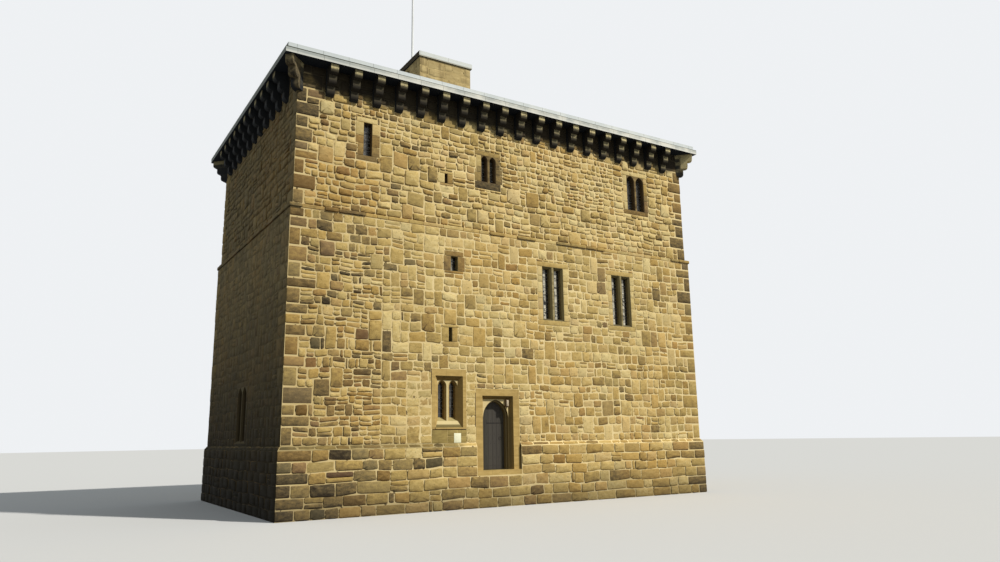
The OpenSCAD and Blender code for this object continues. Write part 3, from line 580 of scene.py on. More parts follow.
# %% Eaves and cap house slab
def eaves_finish(name, pale, deep, stain, shaded, length, seam_z):
    """Pale flat stones laid end to end, in two courses that meet in a dark line at seam_z."""
    material, wire = start_finish(name)
    point, x, y, z = place_of(wire)
    cloud = noise(wire, point, 1.7, 5)
    grain = noise(wire, point, 45, 3)
    place = wire.math("FRACT", along_wall(wire, x, y) / length)
    joint = 1 - (wire.math("MINIMUM", place, 1 - place) * length).between(0.003, 0.012)
    line = 1 - wire.math("ABSOLUTE", z - seam_z).between(0.013, 0.028)
    base = blend(wire, (cloud * 0.8 + grain * 0.2).between(0.35, 0.65), deep, pale)
    left_end = 1 - x.between(-8.5, -4.0)
    base = blend(wire, left_end * 0.85, base, paint(168, 174, 170))
    upper_course = z.between(seam_z, seam_z + 0.02)
    base = blend(wire, upper_course * 0.7, base, paint(226, 232, 232))
    lower_edge = 1 - z.between(seam_z - 0.16, seam_z - 0.08)
    base = blend(wire, lower_edge * 0.5, base, paint(250, 248, 236))
    base = blend(wire, wire.math("MAXIMUM", joint * 0.4, line * (0.5 + left_end * 0.4)), base, stain)
    # Faces that look left take the shaded colour, and faces that look down are nearly black: both are painted
    # shade.
    base = blend(wire, 1 - facing_of(wire, 0).between(-0.9, -0.6), base, shaded)
    base = blend(wire, 1 - facing_of(wire, 2).between(-0.8, -0.4), base, paint(34, 38, 44))
    stone = 1 - wire.math("MAXIMUM", joint, line)
    finish(wire, base, 0.84 + grain * 0.1, grain * 0.3 + stone * 0.7, 0.008, shine=MATT)
    return material


eaves_stone = eaves_finish("eaves_stone", paint(240, 237, 222), paint(184, 188, 182), paint(60, 62, 48),
                           paint(150, 153, 146), 0.95, 15.882)
give(eaves_stone, "eaves_front", "eaves_back", "eaves_left", "eaves_right")
slab_stone = eaves_finish("slab_stone", paint(232, 228, 206), paint(204, 198, 172), paint(128, 120, 98),
                          paint(74, 66, 52), 1.3, 18.02)
give(slab_stone, "cap_house_slab")

# %% [markdown]
# Lead ages to a dull blue-grey with a faint pale bloom. It is a metal under a skin of carbonate, so
# it is only half metallic and quite rough. The roof is laid in bays as wide as a sheet: each has its
# own shade, rain draws streaks down the slope, and about every two metres one sheet laps over the
# next with a dark line. A bay's number comes from the place across the slope, and the lap from z.

# %% Lead on the roof
ROOF_BAY, LAP_RISE = 0.6628, 0.18


def lead_bays(wire, across, z, stretch, point):
    """Colour share and lap line of a slope whose bays are counted along one axis."""
    luck = luck_of(wire, across / ROOF_BAY)
    place = wire.math("FRACT", z / LAP_RISE + luck) * LAP_RISE
    streak = noise(wire, point, 1.0, 4, stretch=stretch)
    return streak * 0.75 + luck * 0.3, 1 - place.between(0.0015, 0.004)


roof_lead, wire = start_finish("roof_lead")
point, x, y, z = place_of(wire)
end_slope = (turned_to(wire, 0) - turned_to(wire, 1)).between(-0.01, 0.01)
long_share, long_lap = lead_bays(wire, x + 9.61, z, (7, 0.5, 0.5), point)
end_share, end_lap = lead_bays(wire, y + 5.94, z, (0.5, 7, 0.5), point)
share = long_share + (end_share - long_share) * end_slope
lap = long_lap + (end_lap - long_lap) * end_slope
fine = noise(wire, point, 22, 3)
base = blend(wire, share.between(0.3, 0.85), paint(104, 109, 113), paint(148, 152, 154))
base = blend(wire, lap * 0.6, base, paint(58, 60, 62))
finish(wire, base, 0.5 + share * 0.2, fine * 0.4 + (1 - lap) * 0.6, 0.006, metallic=0.35)
give(roof_lead, "roof_front", "roof_back", "roof_left", "roof_right")

# %% [markdown]
# The glass is old and dusty, and nearly black with the dark room behind it. Each small pane sits at
# its own slight angle and has its own share of dust, stored as `tone`. In the front's barred windows
# the panes of the two left columns are painted pale instead, as sunlight on them. The lead strips
# between the panes have oxidised to a dull grey.

# %% Glass, window lead, iron and paint
# The palest stop is for panes painted pale, as sunlight on them.
GLASS_STOPS = [(0.0, paint(26, 23, 20)), (0.35, paint(70, 66, 56)), (1.0, paint(252, 244, 218))]
glass, wire = start_finish("old_leaded_glass")
point = point_of(wire)
ripple = noise(wire, point, 9, 2)
dust_and_sunlight = attribute(wire, "tone") + (noise(wire, point, 8, 3) - 0.5) * 0.3
base = wire.node("ShaderNodeValToRGB", {"stops": GLASS_STOPS}, {0: dust_and_sunlight})
finish(wire, base, 0.14 + ripple * 0.2, ripple, 0.004, coat=0.4)
give(glass, "ground_window_glass", "first_window_glass", "upper_window_glass")

came_lead, wire = start_finish("window_lead")
bloom = noise(wire, point_of(wire), 12, 3)
base = blend(wire, bloom.between(0.35, 0.65), paint(84, 84, 82), paint(128, 129, 126))
finish(wire, base, 0.5 + bloom * 0.2, bloom, 0.002, metallic=0.2)

iron, wire = start_finish("black_iron")
scale_marks = noise(wire, point_of(wire), 40, 4)
base = blend(wire, scale_marks.between(0.5, 0.75), paint(34, 32, 30), paint(80, 66, 52))
finish(wire, base, 0.55 + scale_marks * 0.25, scale_marks, 0.002, metallic=0.5)
give(iron, "door_ironwork", "door_pintles")

white_paint, wire = start_finish("white_pole_paint")
runs = noise(wire, point_of(wire), 7, 3, stretch=(1, 1, 0.15))
base = blend(wire, runs.between(0.5, 0.8), paint(236, 237, 234), paint(205, 205, 198))
finish(wire, base, 0.28 + runs * 0.2, runs, 0.001, coat=0.3)
give(white_paint, "flagpole")

# %% [markdown]
# Boards are the same idea three times: stretched noise for grain, and a saw-tooth across the boards
# for a dark gap and for a small change of colour from one board to the next. White Noise turns the
# board's number into that change.

# %% Oak boards
def board_finish(name, pale, dark, tint, across, width, along_axis, gap=0.006):
    """Boards side by side, counted along axis across, with their grain along axis along_axis."""
    material, wire = start_finish(name)
    point, *axes = place_of(wire)
    count = axes[across] / width
    board = luck_of(wire, count)
    stretch = [14, 14, 14]
    stretch[along_axis] = 0.7
    grain = noise(wire, point, 2.2, 5, stretch=stretch)
    in_board = wire.math("FRACT", count)
    seam = 1 - (wire.math("MINIMUM", in_board, 1 - in_board) * width).between(gap * 0.3, gap)
    base = blend(wire, (grain * 0.7 + board * 0.3).between(0.3, 0.72), dark, pale)
    base = blend(wire, wire.math("FRACT", board * 7.3).between(0.4, 0.6) * 0.35, base, tint)
    base = blend(wire, seam * 0.8, base, paint(18, 16, 13))
    finish(wire, base, 0.7 + grain * 0.2, grain * 0.4 + (1 - seam) * 0.6, 0.004)
    return material


BOARD = 0.17633      # width of the front door's boards
door_oak = board_finish("door_oak", paint(68, 65, 53), paint(42, 39, 31), paint(62, 54, 52),
                        0, BOARD, 2, gap=0.004)
give(door_oak, "door_leaf")
hatch_oak = board_finish("hatch_oak", paint(98, 90, 74), paint(56, 50, 42), paint(84, 78, 66),
                         1, 0.16, 2)
give(hatch_oak, "cap_house_door")
floor_oak = board_finish("floor_oak", paint(128, 100, 66), paint(78, 58, 37), paint(104, 84, 58),
                         1, 0.24, 0)
give(floor_oak, "first_floor", "second_floor")

# %% Flagstones
flags = dressed_finish("flagstones", paint(138, 128, 108), paint(104, 96, 80), paint(60, 54, 44),
                       3.0, 0.7)
give(flags, "ground_floor")
print("finishes:", len(bpy.data.materials))

# %% [markdown]
# Now the stones themselves. These walls take nearly seven thousand, so one stone is shaped with care
# and then repeated, stretched and turned to fit each place. Every copy is stretched in nine parts,
# like a picture frame: the middle grows and the rounded corners keep their size.
#
# First, the tools that find out where stones may go. `solids_of` splits a measured node into its
# separate solids, and each `Face` is a flat side of the keep with its own u, to the right, and v, up.

# %% Sizes of the stages
Face = namedtuple("Face", "name origin along up out length")
UP = Vector((0, 0, 1))
LEFT_X, FRONT_Y = -9.38, -5.71              # the faces of the lower wall
PLINTH_HALF = Vector((9.48, 5.81, 0))       # half the plan of each stage of the walls
LOWER_HALF = Vector((-LEFT_X, -FRONT_Y, 0))
UPPER_HALF = Vector((9.276, 5.606, 0))
SLOPE_FOOT, SLOPE_TOP = 2.19, 2.32          # the sloping top of the plinth
LOWER_TOP, UPPER_FOOT = 10.32, 10.48        # the string course lies between them
UPPER_TOP, CAP_FOOT, CAP_TOP = 15.69, 16.27, 18.0
STOREYS = ("ground", "first", "upper")
print("the lower wall is", -2 * LEFT_X, "by", -2 * FRONT_Y, "metres")


# %% Solids, faces and holes
def solids_of(node):
    """The lowest and highest corner of each separate solid in a measured node."""
    mesh = bmesh.new()
    mesh.from_mesh(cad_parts[node].data)
    bmesh.ops.remove_doubles(mesh, verts=mesh.verts, dist=1e-5)
    left, found = set(mesh.verts), []
    while left:
        waiting, group = [left.pop()], []
        while waiting:
            vert = waiting.pop()
            group.append(vert.co.copy())
            nearby = {edge.other_vert(vert) for edge in vert.link_edges} & left
            left -= nearby
            waiting += nearby
        found.append((Vector(map(min, zip(*group))), Vector(map(max, zip(*group)))))
    mesh.free()
    return sorted(found, key=lambda solid: tuple(round(c, 3) for c in solid[0]))


def four_faces(low, high, inward=0.0, rise=1.0, foot=0.0):
    """The sides of a box, from the front round to the right, each leaning in by inward over rise."""
    corners = [Vector((low.x, low.y, foot)), Vector((high.x, low.y, foot)),
               Vector((high.x, high.y, foot)), Vector((low.x, high.y, foot))]
    made = []
    for i, name in enumerate(("front", "right", "back", "left")):
        start, stop = corners[i], corners[(i + 1) % 4]
        along = (stop - start).normalized()
        up = (UP * rise - along.cross(UP) * inward).normalized()
        made.append(Face(name, start, along, up, along.cross(up), (stop - start).length))
    return made


def holes_in(face, solids, reach=0.16):
    """The rectangles (u0, u1, v0, v1) that solids at or near this upright face cover."""
    found = []
    for low, high in solids:
        middle, half = (low + high) / 2 - face.origin, (high - low) / 2
        depth, spread = abs(face.out.dot(half)), abs(face.along.dot(half))
        if face.out.dot(middle) + depth > -reach and face.out.dot(middle) - depth < reach:
            u = face.along.dot(middle)
            found.append((u - spread, u + spread, low.z, high.z))
    return found


window_solids = [s for storey in STOREYS for s in solids_of(storey + "_window_stone")]
glass_solids = [s for storey in STOREYS for s in solids_of(storey + "_window_glass")]
corbel_solids = [s for side in ("front", "back", "left", "right") for s in solids_of("corbels_" + side)]
doorway_solids = [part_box(name) for name in ("door_jambs", "door_arch", "doorstep")]
print(len(window_solids), "windows and", len(corbel_solids), "corbels to build round")

# %% [markdown]
# One stone. A short cylinder is squared a little, by pushing each point of its rim out towards the
# corners, the front is inset and raised, and its middle is pulled out a little further. That is the
# flat pillow shape that centuries of rain leave. Eight versions with different lumps are enough,
# because each copy is also stretched and its four corners are pushed about.

# %% Shape of one rubble stone
BAND = 0.5           # the outer half of a stone's shape holds its rounded edge
SHAPES = 8
SQUARENESS = 4.4     # 2 leaves the rim a circle, and a large number makes it a square
BODY = 0.62          # height of the cylinder, before its front is inset and raised
LUMPS = ((-0.11, 0.11), (-0.11, 0.11), (-0.18, 0.06))


def as_arrays(mesh):
    """A bmesh as numpy arrays: its points and its triangles."""
    bmesh.ops.triangulate(mesh, faces=mesh.faces)
    mesh.verts.index_update()
    points = np.array([vert.co for vert in mesh.verts])
    triangles = np.array([[vert.index for vert in face.verts] for face in mesh.faces])
    mesh.free()
    return points, triangles


def stone_shape(segments, draw):
    """Points (-1 to 1 across, 0 at the back and 1 at the crown), triangles and rim of one stone."""
    mesh = bmesh.new()
    bmesh.ops.create_cone(mesh, cap_ends=True, segments=segments, radius1=1, radius2=1, depth=BODY,
                          matrix=Matrix.Translation((0, 0, BODY / 2)))
    for vert in mesh.verts:
        reach = (abs(vert.co.x) ** SQUARENESS + abs(vert.co.y) ** SQUARENESS) ** (1 / SQUARENESS)
        vert.co.xy *= draw.uniform(0.92, 1.0) / reach
    mesh.normal_update()
    front = [face for face in mesh.faces if face.normal.z > 0.9]
    bmesh.ops.inset_region(mesh, faces=front, thickness=0.26, depth=0.26)
    bmesh.ops.poke(mesh, faces=front, offset=0.14)
    for vert in mesh.verts:
        if vert.co.z > BODY / 2:
            vert.co += Vector([draw.uniform(*span) for span in LUMPS])
    points, triangles = as_arrays(mesh)
    return points, triangles, (points[:, 2] < 0.7).astype(float)


draw = random.Random(7)
fine_shapes = [stone_shape(16, draw) for _ in range(SHAPES)]
plain_shapes = [stone_shape(8, draw) for _ in range(SHAPES)]
print("triangles in a stone:", len(fine_shapes[0][1]), "on the front,",
      len(plain_shapes[0][1]), "elsewhere")

# %% [markdown]
# The plan of the stones comes before their shapes, as it does for a mason. A course runs round all
# four sides at one height, so that the big corner stones, the quoins, bond into both walls. In a
# course the stones have random lengths. They stop at windows, doorways and corbels, and where a sill
# or lintel ends half way up a course, thinner stones fill what is left. Now and then a tall stone, a
# jumper, takes up two courses, which is what stops rubble from looking like brickwork.

# %% Beds of the courses
Style = namedtuple("Style", "length joint proud split jump dark shade")
LEAST_BED = 0.075                                   # a thinner gap than this is left to mortar
TINY = 0.004
SPLIT_TALL, SPLIT_LONG, JUMPER_LONG = 0.26, 0.34, 0.32   # the least stone that is cut in two, or jumps


def beds(low, high, thin, thick, draw):
    """Heights of the bed joints between low and high, with courses of thin to thick."""
    steps = [draw.uniform(thin, thick) for _ in range(max(1, round((high - low) * 2 / (thin + thick))))]
    scale = (high - low) / sum(steps)
    levels = [low]
    for step in steps:
        levels.append(levels[-1] + step * scale)
    return levels


print("a metre takes", len(beds(0, 1, 0.2, 0.3, random.Random(1))) - 1, "courses of 0.2 to 0.3 m")

# %% What is free in a course
def overlaps(first, second):
    """True if two rectangles (u0, u1, v0, v1) share more than their edges."""
    return (first[0] < second[1] - TINY and second[0] < first[1] - TINY
            and first[2] < second[3] - TINY and second[2] < first[3] - TINY)


def free_runs(low, high, begin, end, holes):
    """The parts of a course that no hole covers, each (u0, u1, v0, v1)."""
    crossed = [hole for hole in holes if overlaps(hole, (begin, end, low, high))]
    cuts = sorted({begin, end, *(u for hole in crossed for u in hole[:2] if begin < u < end)})
    runs = []
    for u0, u1 in zip(cuts, cuts[1:]):
        v0, v1 = low, high
        for hole in crossed:
            if hole[0] < (u0 + u1) / 2 < hole[1]:
                below, above = max(min(hole[2], v1) - v0, 0), max(v1 - max(hole[3], v0), 0)
                v0, v1 = (v0, v0 + below) if below > above else (v1 - above, v1)
        if v1 - v0 < LEAST_BED:
            continue
        if runs and abs(runs[-1][1] - u0) < TINY and runs[-1][2:] == (v0, v1):
            runs[-1] = (runs[-1][0], u1, v0, v1)
        else:
            runs.append((u0, u1, v0, v1))
    return runs


print("free beside a window:", free_runs(0, 0.3, 0, 4, [(1, 2, -1, 1)]))

# %% Lay one run of stones
def lengths(total, mean, draw):
    """Random stone lengths that add up to total."""
    count = max(1, round(total / mean))
    parts = [draw.uniform(0.58, 1.5) for _ in range(count)]
    return [part * total / sum(parts) for part in parts]


def tone_of(style, draw):
    """A stone's shade: mostly middling, now and then dark or pale."""
    chance, spread = draw.random(), 1 if style.dark else 0.5
    if chance < style.dark:
        return style.shade + draw.uniform(-0.42, -0.18)
    return style.shade + spread * (draw.uniform(0.16, 0.34) if chance > 0.9 else draw.gauss(0, 0.13))


def lay_run(run, style, draw, plan, above=None, jumpers=None, holes=()):
    """Adds the stones of one run to plan, each (u0, u1, v0, v1, proud, tone)."""
    u, end, v0, v1 = run
    for length in lengths(end - u, style.length * (0.55 + 0.45 * (v1 - v0) / 0.3), draw):
        spots = [(u, u + length, v0, v1)]
        chance = draw.random()
        if v1 - v0 > SPLIT_TALL and chance < style.split:
            cut = v0 + (v1 - v0) * draw.uniform(0.40, 0.60)
            spots = [(u, u + length, v0, cut), (u, u + length, cut, v1)]
        elif length > SPLIT_LONG and chance > 1 - style.split * 0.5:
            cut = u + length * draw.choice((0.28, 0.7))
            spots = [(u, cut, v0, v1), (cut, u + length, v0, v1)]
        elif (above and v1 == above[0] and length > JUMPER_LONG
              and style.split < chance < style.split + style.jump):
            top = (u, u + length, v1, above[1])
            inside = above[2] < u and u + length < above[3]
            if inside and not any(overlaps(top, hole) for hole in holes):
                jumpers.append(top)
                spots = [(u, u + length, v0, above[1])]
        for a, b, c, d in spots:
            half = style.joint / 2 * min(1, (d - c) / 0.2)
            tone = tone_of(style, draw)
            proud = draw.triangular(0.3, 2.2, 0.8) * style.proud
            plan.append((a + half, b - half, c + half, d - half, proud, tone))
        u += length


trial = []
lay_run((0, 4, 0, 0.3), Style(0.36, 0.034, 0.02, 0.2, 0, 0.1, 0.5), random.Random(5), trial)
print("a trial run of 4 m takes", len(trial), "stones")

# %% [markdown]
# A stone's plan is a rectangle. Before it becomes a shape, the whole bed line is made to rise and
# fall by a centimetre or two and each corner moves a little on its own, less where the stones lie
# smooth. Both fade out beside windows and at the ends of a stage, where the masons had to be exact.
# numpy does this for thousands of stones at once.

# %% Beds and corners out of true
EMBED = 0.015         # how far a stone reaches into the mortar
EDGE_ROUND = 0.050    # width of the rounded edge
CORNER_PLAY = 0.020
BED_PLAY = 0.018
CALM_REACH = 0.45


def settled(plan, holes, ends, seed):
    """Corner points (stone, corner, uv) of a plan, with beds and corners slightly out of true."""
    u0, u1, v0, v1 = np.array(plan)[:, :4].T
    corners = np.stack([np.stack(pair, 1) for pair in ((u0, v0), (u1, v0), (u1, v1), (u0, v1))], 1)
    u, v = corners[..., 0], corners[..., 1]
    calm = np.minimum(v - ends[0], ends[1] - v)
    for h0, h1, h2, h3 in holes:
        calm = np.minimum(calm, np.maximum(np.maximum(h0 - u, u - h1), np.maximum(h2 - v, v - h3)))
    calm = np.clip(calm / CALM_REACH, 0, 1)
    waves = np.sin(1.7 * u + 0.9 * v + seed) + np.sin(4.3 * u - 2.1 * v + 2 * seed)
    waves += 0.6 * np.sin(8.1 * u + 3.7 * v)
    corners[..., 1] += BED_PLAY * calm * waves
    play = np.random.default_rng(seed).uniform(-CORNER_PLAY, CORNER_PLAY, corners.shape)
    rough = np.clip((np.array(plan)[:, 4] - 0.004) / 0.012, 0.1, 1)
    return corners + play * (rough[:, None] * (0.3 + 0.7 * calm))[..., None]


# %% Stretch the shapes to the plan
def stretched(part, half, edge_width, most=0.62):
    """Shape coordinate -1 to 1 moved so that the rounded edge keeps its width on any size of stone."""
    edge = np.minimum(edge_width / half, most)
    outer = np.sign(part) * (1 - edge * (1 - np.abs(part)) / BAND)
    inner = part / (1 - BAND) * (1 - edge)
    return np.where(np.abs(part) > 1 - BAND + 1e-6, outer, inner)


def stones_on(face, plan, corners, shapes):
    """Points, triangles, tone and rim of all the stones of one face."""
    proud, tone = np.array(plan)[:, 4:].T
    wide = np.linalg.norm(corners[:, 1] - corners[:, 0], axis=1) / 2
    tall = np.linalg.norm(corners[:, 3] - corners[:, 0], axis=1) / 2
    which = np.arange(len(plan)) * 5 % len(shapes)
    packs = []
    for k, (points, triangles, rim) in enumerate(shapes):
        mine = which == k
        s = stretched(points[None, :, 0], wide[mine][:, None], EDGE_ROUND)
        t = stretched(points[None, :, 1], tall[mine][:, None], EDGE_ROUND)
        share = np.stack([(1 - s) * (1 - t), (1 + s) * (1 - t),
                          (1 + s) * (1 + t), (1 - s) * (1 + t)], -1) / 4
        uv = (share[..., None] * corners[mine][:, None]).sum(2)
        depth = points[None, :, 2] * (EMBED + proud[mine][:, None]) - EMBED
        place = (np.array(face.origin) + uv[..., :1] * np.array(face.along)
                 + uv[..., 1:] * np.array(face.up) + depth[..., None] * np.array(face.out))
        count, size = place.shape[:2]
        first = (np.arange(count) * size)[:, None, None]
        packs.append((place.reshape(-1, 3), (triangles[None] + first).reshape(-1, 3),
                      np.repeat(tone[mine], size), np.tile(rim, count)))
    return packs


# %% Join shapes into one piece
def finish_piece(name, mesh, material, body="keep"):
    """An object for a finished mesh: it rides on a body and carries its finish."""
    mesh.materials.append(material)
    piece = bpy.data.objects.new(name, mesh)
    scene.collection.objects.link(piece)
    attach(piece, body)
    print(f"{name}: {sum(len(face.vertices) - 2 for face in mesh.polygons)} triangles")
    return piece


def make_piece(name, packs, material, smooth=True):
    """One mesh object from packs of repeated shapes."""
    firsts = np.cumsum([0] + [len(pack[0]) for pack in packs[:-1]])
    points, tone, rim = (np.concatenate([pack[part] for pack in packs]) for part in (0, 2, 3))
    triangles = np.concatenate([pack[1] + first for pack, first in zip(packs, firsts)])
    mesh = bpy.data.meshes.new(name)
    mesh.from_pydata(points.tolist(), [], triangles.tolist())
    if smooth:
        mesh.shade_smooth()
    for label, numbers in (("tone", tone), ("rim", rim)):
        stored = mesh.attributes.new(label, "FLOAT", "POINT")
        stored.data.foreach_set("value", numbers.astype(np.float32))
    return finish_piece(name, mesh, material)


# %% [markdown]
# Quoins are squared blocks, longer one way in one course and the other way in the next, so that the
# corner is tied into both walls. A bevelled cube is right for them, and it is stretched in the same
# way, so that the small arris round its edges stays the same on every block. Weather has darkened
# both corners of the front, and the one at its right end more the higher it goes. In the upper stage
# both are darker still, partly as painted shade of the stones' relief.

# %% One squared block
QUOIN_PROUD, QUOIN_ARRIS = 0.016, 0.045
HIGH_WEAR_AND_SHADE = 0.20     # how much darker the corners of the upper stage are


def block_shape():
    """Points and triangles of a cube with rounded edges, -1 to 1 each way."""
    mesh = bmesh.new()
    bmesh.ops.create_cube(mesh, size=2)
    bmesh.ops.bevel(mesh, geom=mesh.edges, offset=BAND, segments=2, affect="EDGES", profile=0.5,
                    material=-1)
    return as_arrays(mesh)


block_points, block_triangles = block_shape()


def block_pack(low, high, tone, arris):
    """One squared block between two corners of a box, with rounded edges arris wide."""
    half, middle = (np.array(high) - np.array(low)) / 2, (np.array(high) + np.array(low)) / 2
    points = middle + half * stretched(block_points, half, arris, 0.45)
    # Its arrises are marked for the painted shade at the edges.
    rim = np.where((np.abs(block_points) > 1 - 1e-3).sum(1) > 1, 0.6, 0.0)
    return points, block_triangles, np.full(len(points), tone), rim


# %% Corner stones
def quoin_groups(levels, least):
    """Joins courses into corner stones at least this high: (first course, one past the last)."""
    groups, first = [], 0
    for i in range(1, len(levels)):
        if levels[i] - levels[first] >= least or i == len(levels) - 1:
            groups.append((first, i))
            first = i
    return groups


def lay_quoins(faces, levels, least, long, short, style, draw):
    """Corner blocks, and how far they reach along each face: reach[face][course] = [start, end]."""
    packs, reach, joint = [], [[[0, 0] for _ in levels[1:]] for _ in faces], style.joint
    rough = style._replace(dark=0)
    # In the upper stage the front corners are darker, partly wear and partly painted shade.
    worn = HIGH_WEAR_AND_SHADE if levels[0] > 10 else 0
    for corner, face in enumerate(faces):
        before = faces[corner - 1]
        for turn, (first, last) in enumerate(quoin_groups(levels, least)):
            sizes = [long * draw.uniform(0.7, 1.2), short * draw.uniform(0.8, 1.2)]
            ahead, back = sizes if (turn + corner) % 2 else sizes[::-1]
            for course in range(first, last):
                reach[corner][course][0] = ahead
                reach[corner - 1][course][1] = back
            proud = min(QUOIN_PROUD, style.proud) * draw.uniform(0.5, 1.5)
            a = face.origin + (face.out + before.out) * proud
            b = face.origin + face.along * (ahead - joint / 2) - before.along * (back - joint / 2)
            low = (min(a.x, b.x), min(a.y, b.y), levels[first] + joint / 2)
            high = (max(a.x, b.x), max(a.y, b.y), levels[last] - joint / 2)
            climb = 0.12 + 0.26 * min(max((levels[first] - 4) / 6, 0), 1)
            tone = tone_of(rough, draw)
            spread = draw.uniform(0, 0.16)
            tone -= (0.22 + worn, climb + worn + spread, 0.04, 0.10)[corner]
            packs.append(block_pack(low, high, max(tone, 0.08 if corner == 1 else 0.2), QUOIN_ARRIS))
    return packs, reach


print("triangles in a quoin:", len(block_triangles))

# %% [markdown]
# A window in such a wall is built up from its own blocks: jamb stones one on another, a lintel over
# them and a sill below, bedded in the courses on either side. The rings of blocks are planned first,
# and the rubble is then laid up to them. A ring fills the space between the window's lights and the
# edge of its measured stone, and now and then a jamb stone reaches a little further into the wall.
# The front's rings have shades of their own, since some were renewed in pale stone and others are
# black with age; the numbers of a jamb go from the foot up.

# %% Shades of the rings
Ring = namedtuple("Ring", "x z left right head sill deeper", defaults=(0,))
RINGS = [Ring(-6.60, 13.3, (0.30, 0.34, 0.86), (0.26, 0.30, 0.84), 0.92, 0.14),
         Ring(-3.35, 12.4, (0.80,), (0.30,), 0.60, 0.44),
         Ring(-1.42, 13.1, (0.30, 0.66), (0.20, 0.16, 0.18), 0.34, 0.04, 0.10),
         Ring(6.43, 13.4, (0.80, 0.74), (0.12, 0.20, 0.34, 0.64), 0.74, 0.05),
         Ring(-3.06, 9.0, (0.24,), (0.18,), 0.24, 0.26),
         Ring(-3.23, 6.2, (0.56,), (0.5,), 0.60, 0.50),
         Ring(1.52, 8.2, (0.88, 0.94), (0.84, 0.90), 0.62, 0.60),
         Ring(5.18, 8.2, (0.84, 0.90), (0.80, 0.88), 0.64, 0.58)]
USUAL_RING = Ring(0, 0, (0.60, 0.68), (0.56, 0.66), 0.64, 0.50)
SPLAYS = {"lower": 0.070, "upper": 0.030}       # from the edge of the lights to the blocks
JAMB_BLOCK = 0.40
RING_JOINT, RING_ARRIS = 0.010, 0.014


# %% Blocks round the windows
def ring_blocks(rect, opening, ring, draw):
    """Blocks (u0, u1, v0, v1, tone) between an opening and the rectangle of its dressed stone."""
    blocks = []
    jambs = ((opening[0], rect[0], -1, ring.left), (opening[1], rect[1], 1, ring.right))
    for inner, outer, way, tones in jambs:
        parts, v = lengths(opening[3] - opening[2], JAMB_BLOCK, draw), opening[2]
        for i, part in enumerate(parts):
            far = outer + way * draw.choice((0, 0.03, 0.11))
            tone = tones[i * len(tones) // len(parts)] + draw.uniform(-0.05, 0.05)
            blocks.append((min(inner, far), max(inner, far), v, v + part, tone))
            v += part
    ends = rect[0] - draw.uniform(0, 0.1), rect[1] + draw.uniform(0, 0.1)
    for v0, v1, tone in ((opening[3], rect[3], ring.head), (rect[2] - ring.deeper, opening[2], ring.sill)):
        if v1 - v0 > 0.03:
            blocks.append((*ends, v0, v1, tone))
    return blocks


def rings_of(face, levels, stage, draw):
    """All the ring blocks of one face between the lowest and highest level, but for sloping sills."""
    found = []
    for rect in holes_in(face, window_solids):
        lights = [glass for glass in holes_in(face, glass_solids, 0.6) if overlaps(glass, rect)]
        sloping = face.name in ("front", "back") and rect[2] < 3.0
        if not lights or sloping or rect[2] < levels[0] - TINY or rect[3] > levels[-1]:
            continue
        cut = SPLAYS[stage] if len(lights) > 1 else 0
        u0, u1, v0, v1 = (pick(part) for pick, part in zip((min, max, min, max), zip(*lights)))
        x, z = face.origin.x + (rect[0] + rect[1]) / 2, (v0 + v1) / 2
        own = [ring for ring in RINGS if face.name == "front" and math.hypot(ring.x - x, ring.z - z) < 0.7]
        opening = (u0 - cut, u1 + cut, v0 - cut, v1 + cut)
        found += ring_blocks(rect, opening, (own or [USUAL_RING])[0], draw)
    return found


def flat_block(face, rect, tone, proud, joint, arris):
    """A block on an upright face, set into the wall and standing proud of it."""
    u0, u1, v0, v1 = rect
    a = face.origin + face.along * (u0 + joint / 2) - face.out * 0.03
    b = face.origin + face.along * (u1 - joint / 2) + face.out * proud
    low = (min(a.x, b.x), min(a.y, b.y), v0 + joint / 2)
    high = (max(a.x, b.x), max(a.y, b.y), v1 - joint / 2)
    return block_pack(low, high, tone, arris)


print(len(glass_solids), "lights,", len(RINGS), "rings with shades of their own")

# %% [markdown]
# Now the four stages of wall, from the ground up. Each has its own plane and its own kind of
# masonry: big squared blocks in the plinth, roughly squared rubble in the lower wall, thinner and
# rougher stones in the upper wall, where more of them have gone dark, and smooth close blocks on the
# cap house. A zone is a part of the front that was built or mended in another way. An old straight
# joint near the left end marks one, and the smooth masonry about the ground window and the door
# another. Thin black slots round the ground window are painted shadow, in joints that have lost their
# mortar and under the lip of its sill.

# %% Kinds of masonry, and where they are
PLINTH = Style(length=0.66, joint=0.016, proud=0.018, split=0.03, jump=0, dark=0.08, shade=0.52)
LOWER = Style(length=0.40, joint=0.022, proud=0.011, split=0.10, jump=0.14, dark=0.12, shade=0.66)
PATCHED = Style(length=0.38, joint=0.026, proud=0.018, split=0.45, jump=0.06, dark=0.16, shade=0.60)
MENDED = Style(length=0.56, joint=0.004, proud=0.005, split=0.16, jump=0.04, dark=0.0, shade=0.76)
UPPER = Style(length=0.44, joint=0.034, proud=0.028, split=0.12, jump=0.14, dark=0.18, shade=0.62)
SMALL = Style(length=0.33, joint=0.034, proud=0.026, split=0.40, jump=0.04, dark=0.14, shade=0.62)
CAP = Style(length=0.56, joint=0.004, proud=0.006, split=0.04, jump=0.05, dark=0.0, shade=0.66)
LEFT_SHADE = 0.36      # how much darker the stones of the left wall are painted, as shade
FRONT_ZONES = {"lower": [(0.0, 3.416, SLOPE_TOP, 9.36, PATCHED), (4.40, 7.25, SLOPE_TOP, 5.0, MENDED)],
               "upper": [(7.4, 14.4, 12.1, 14.9, SMALL), (2.0, 4.4, 13.4, 15.0, SMALL)]}
APRON = (5.378, 6.81, SLOPE_TOP, 2.824)   # dressed blocks below the ground window
BLACK = -0.2           # a tone below the ramp's darkest colour
SHADOW_SLOTS = ((7.172, 7.196, 2.90, 4.14), (5.352, 5.376, 4.05, 4.98), (5.40, 6.80, 2.788, 2.824))


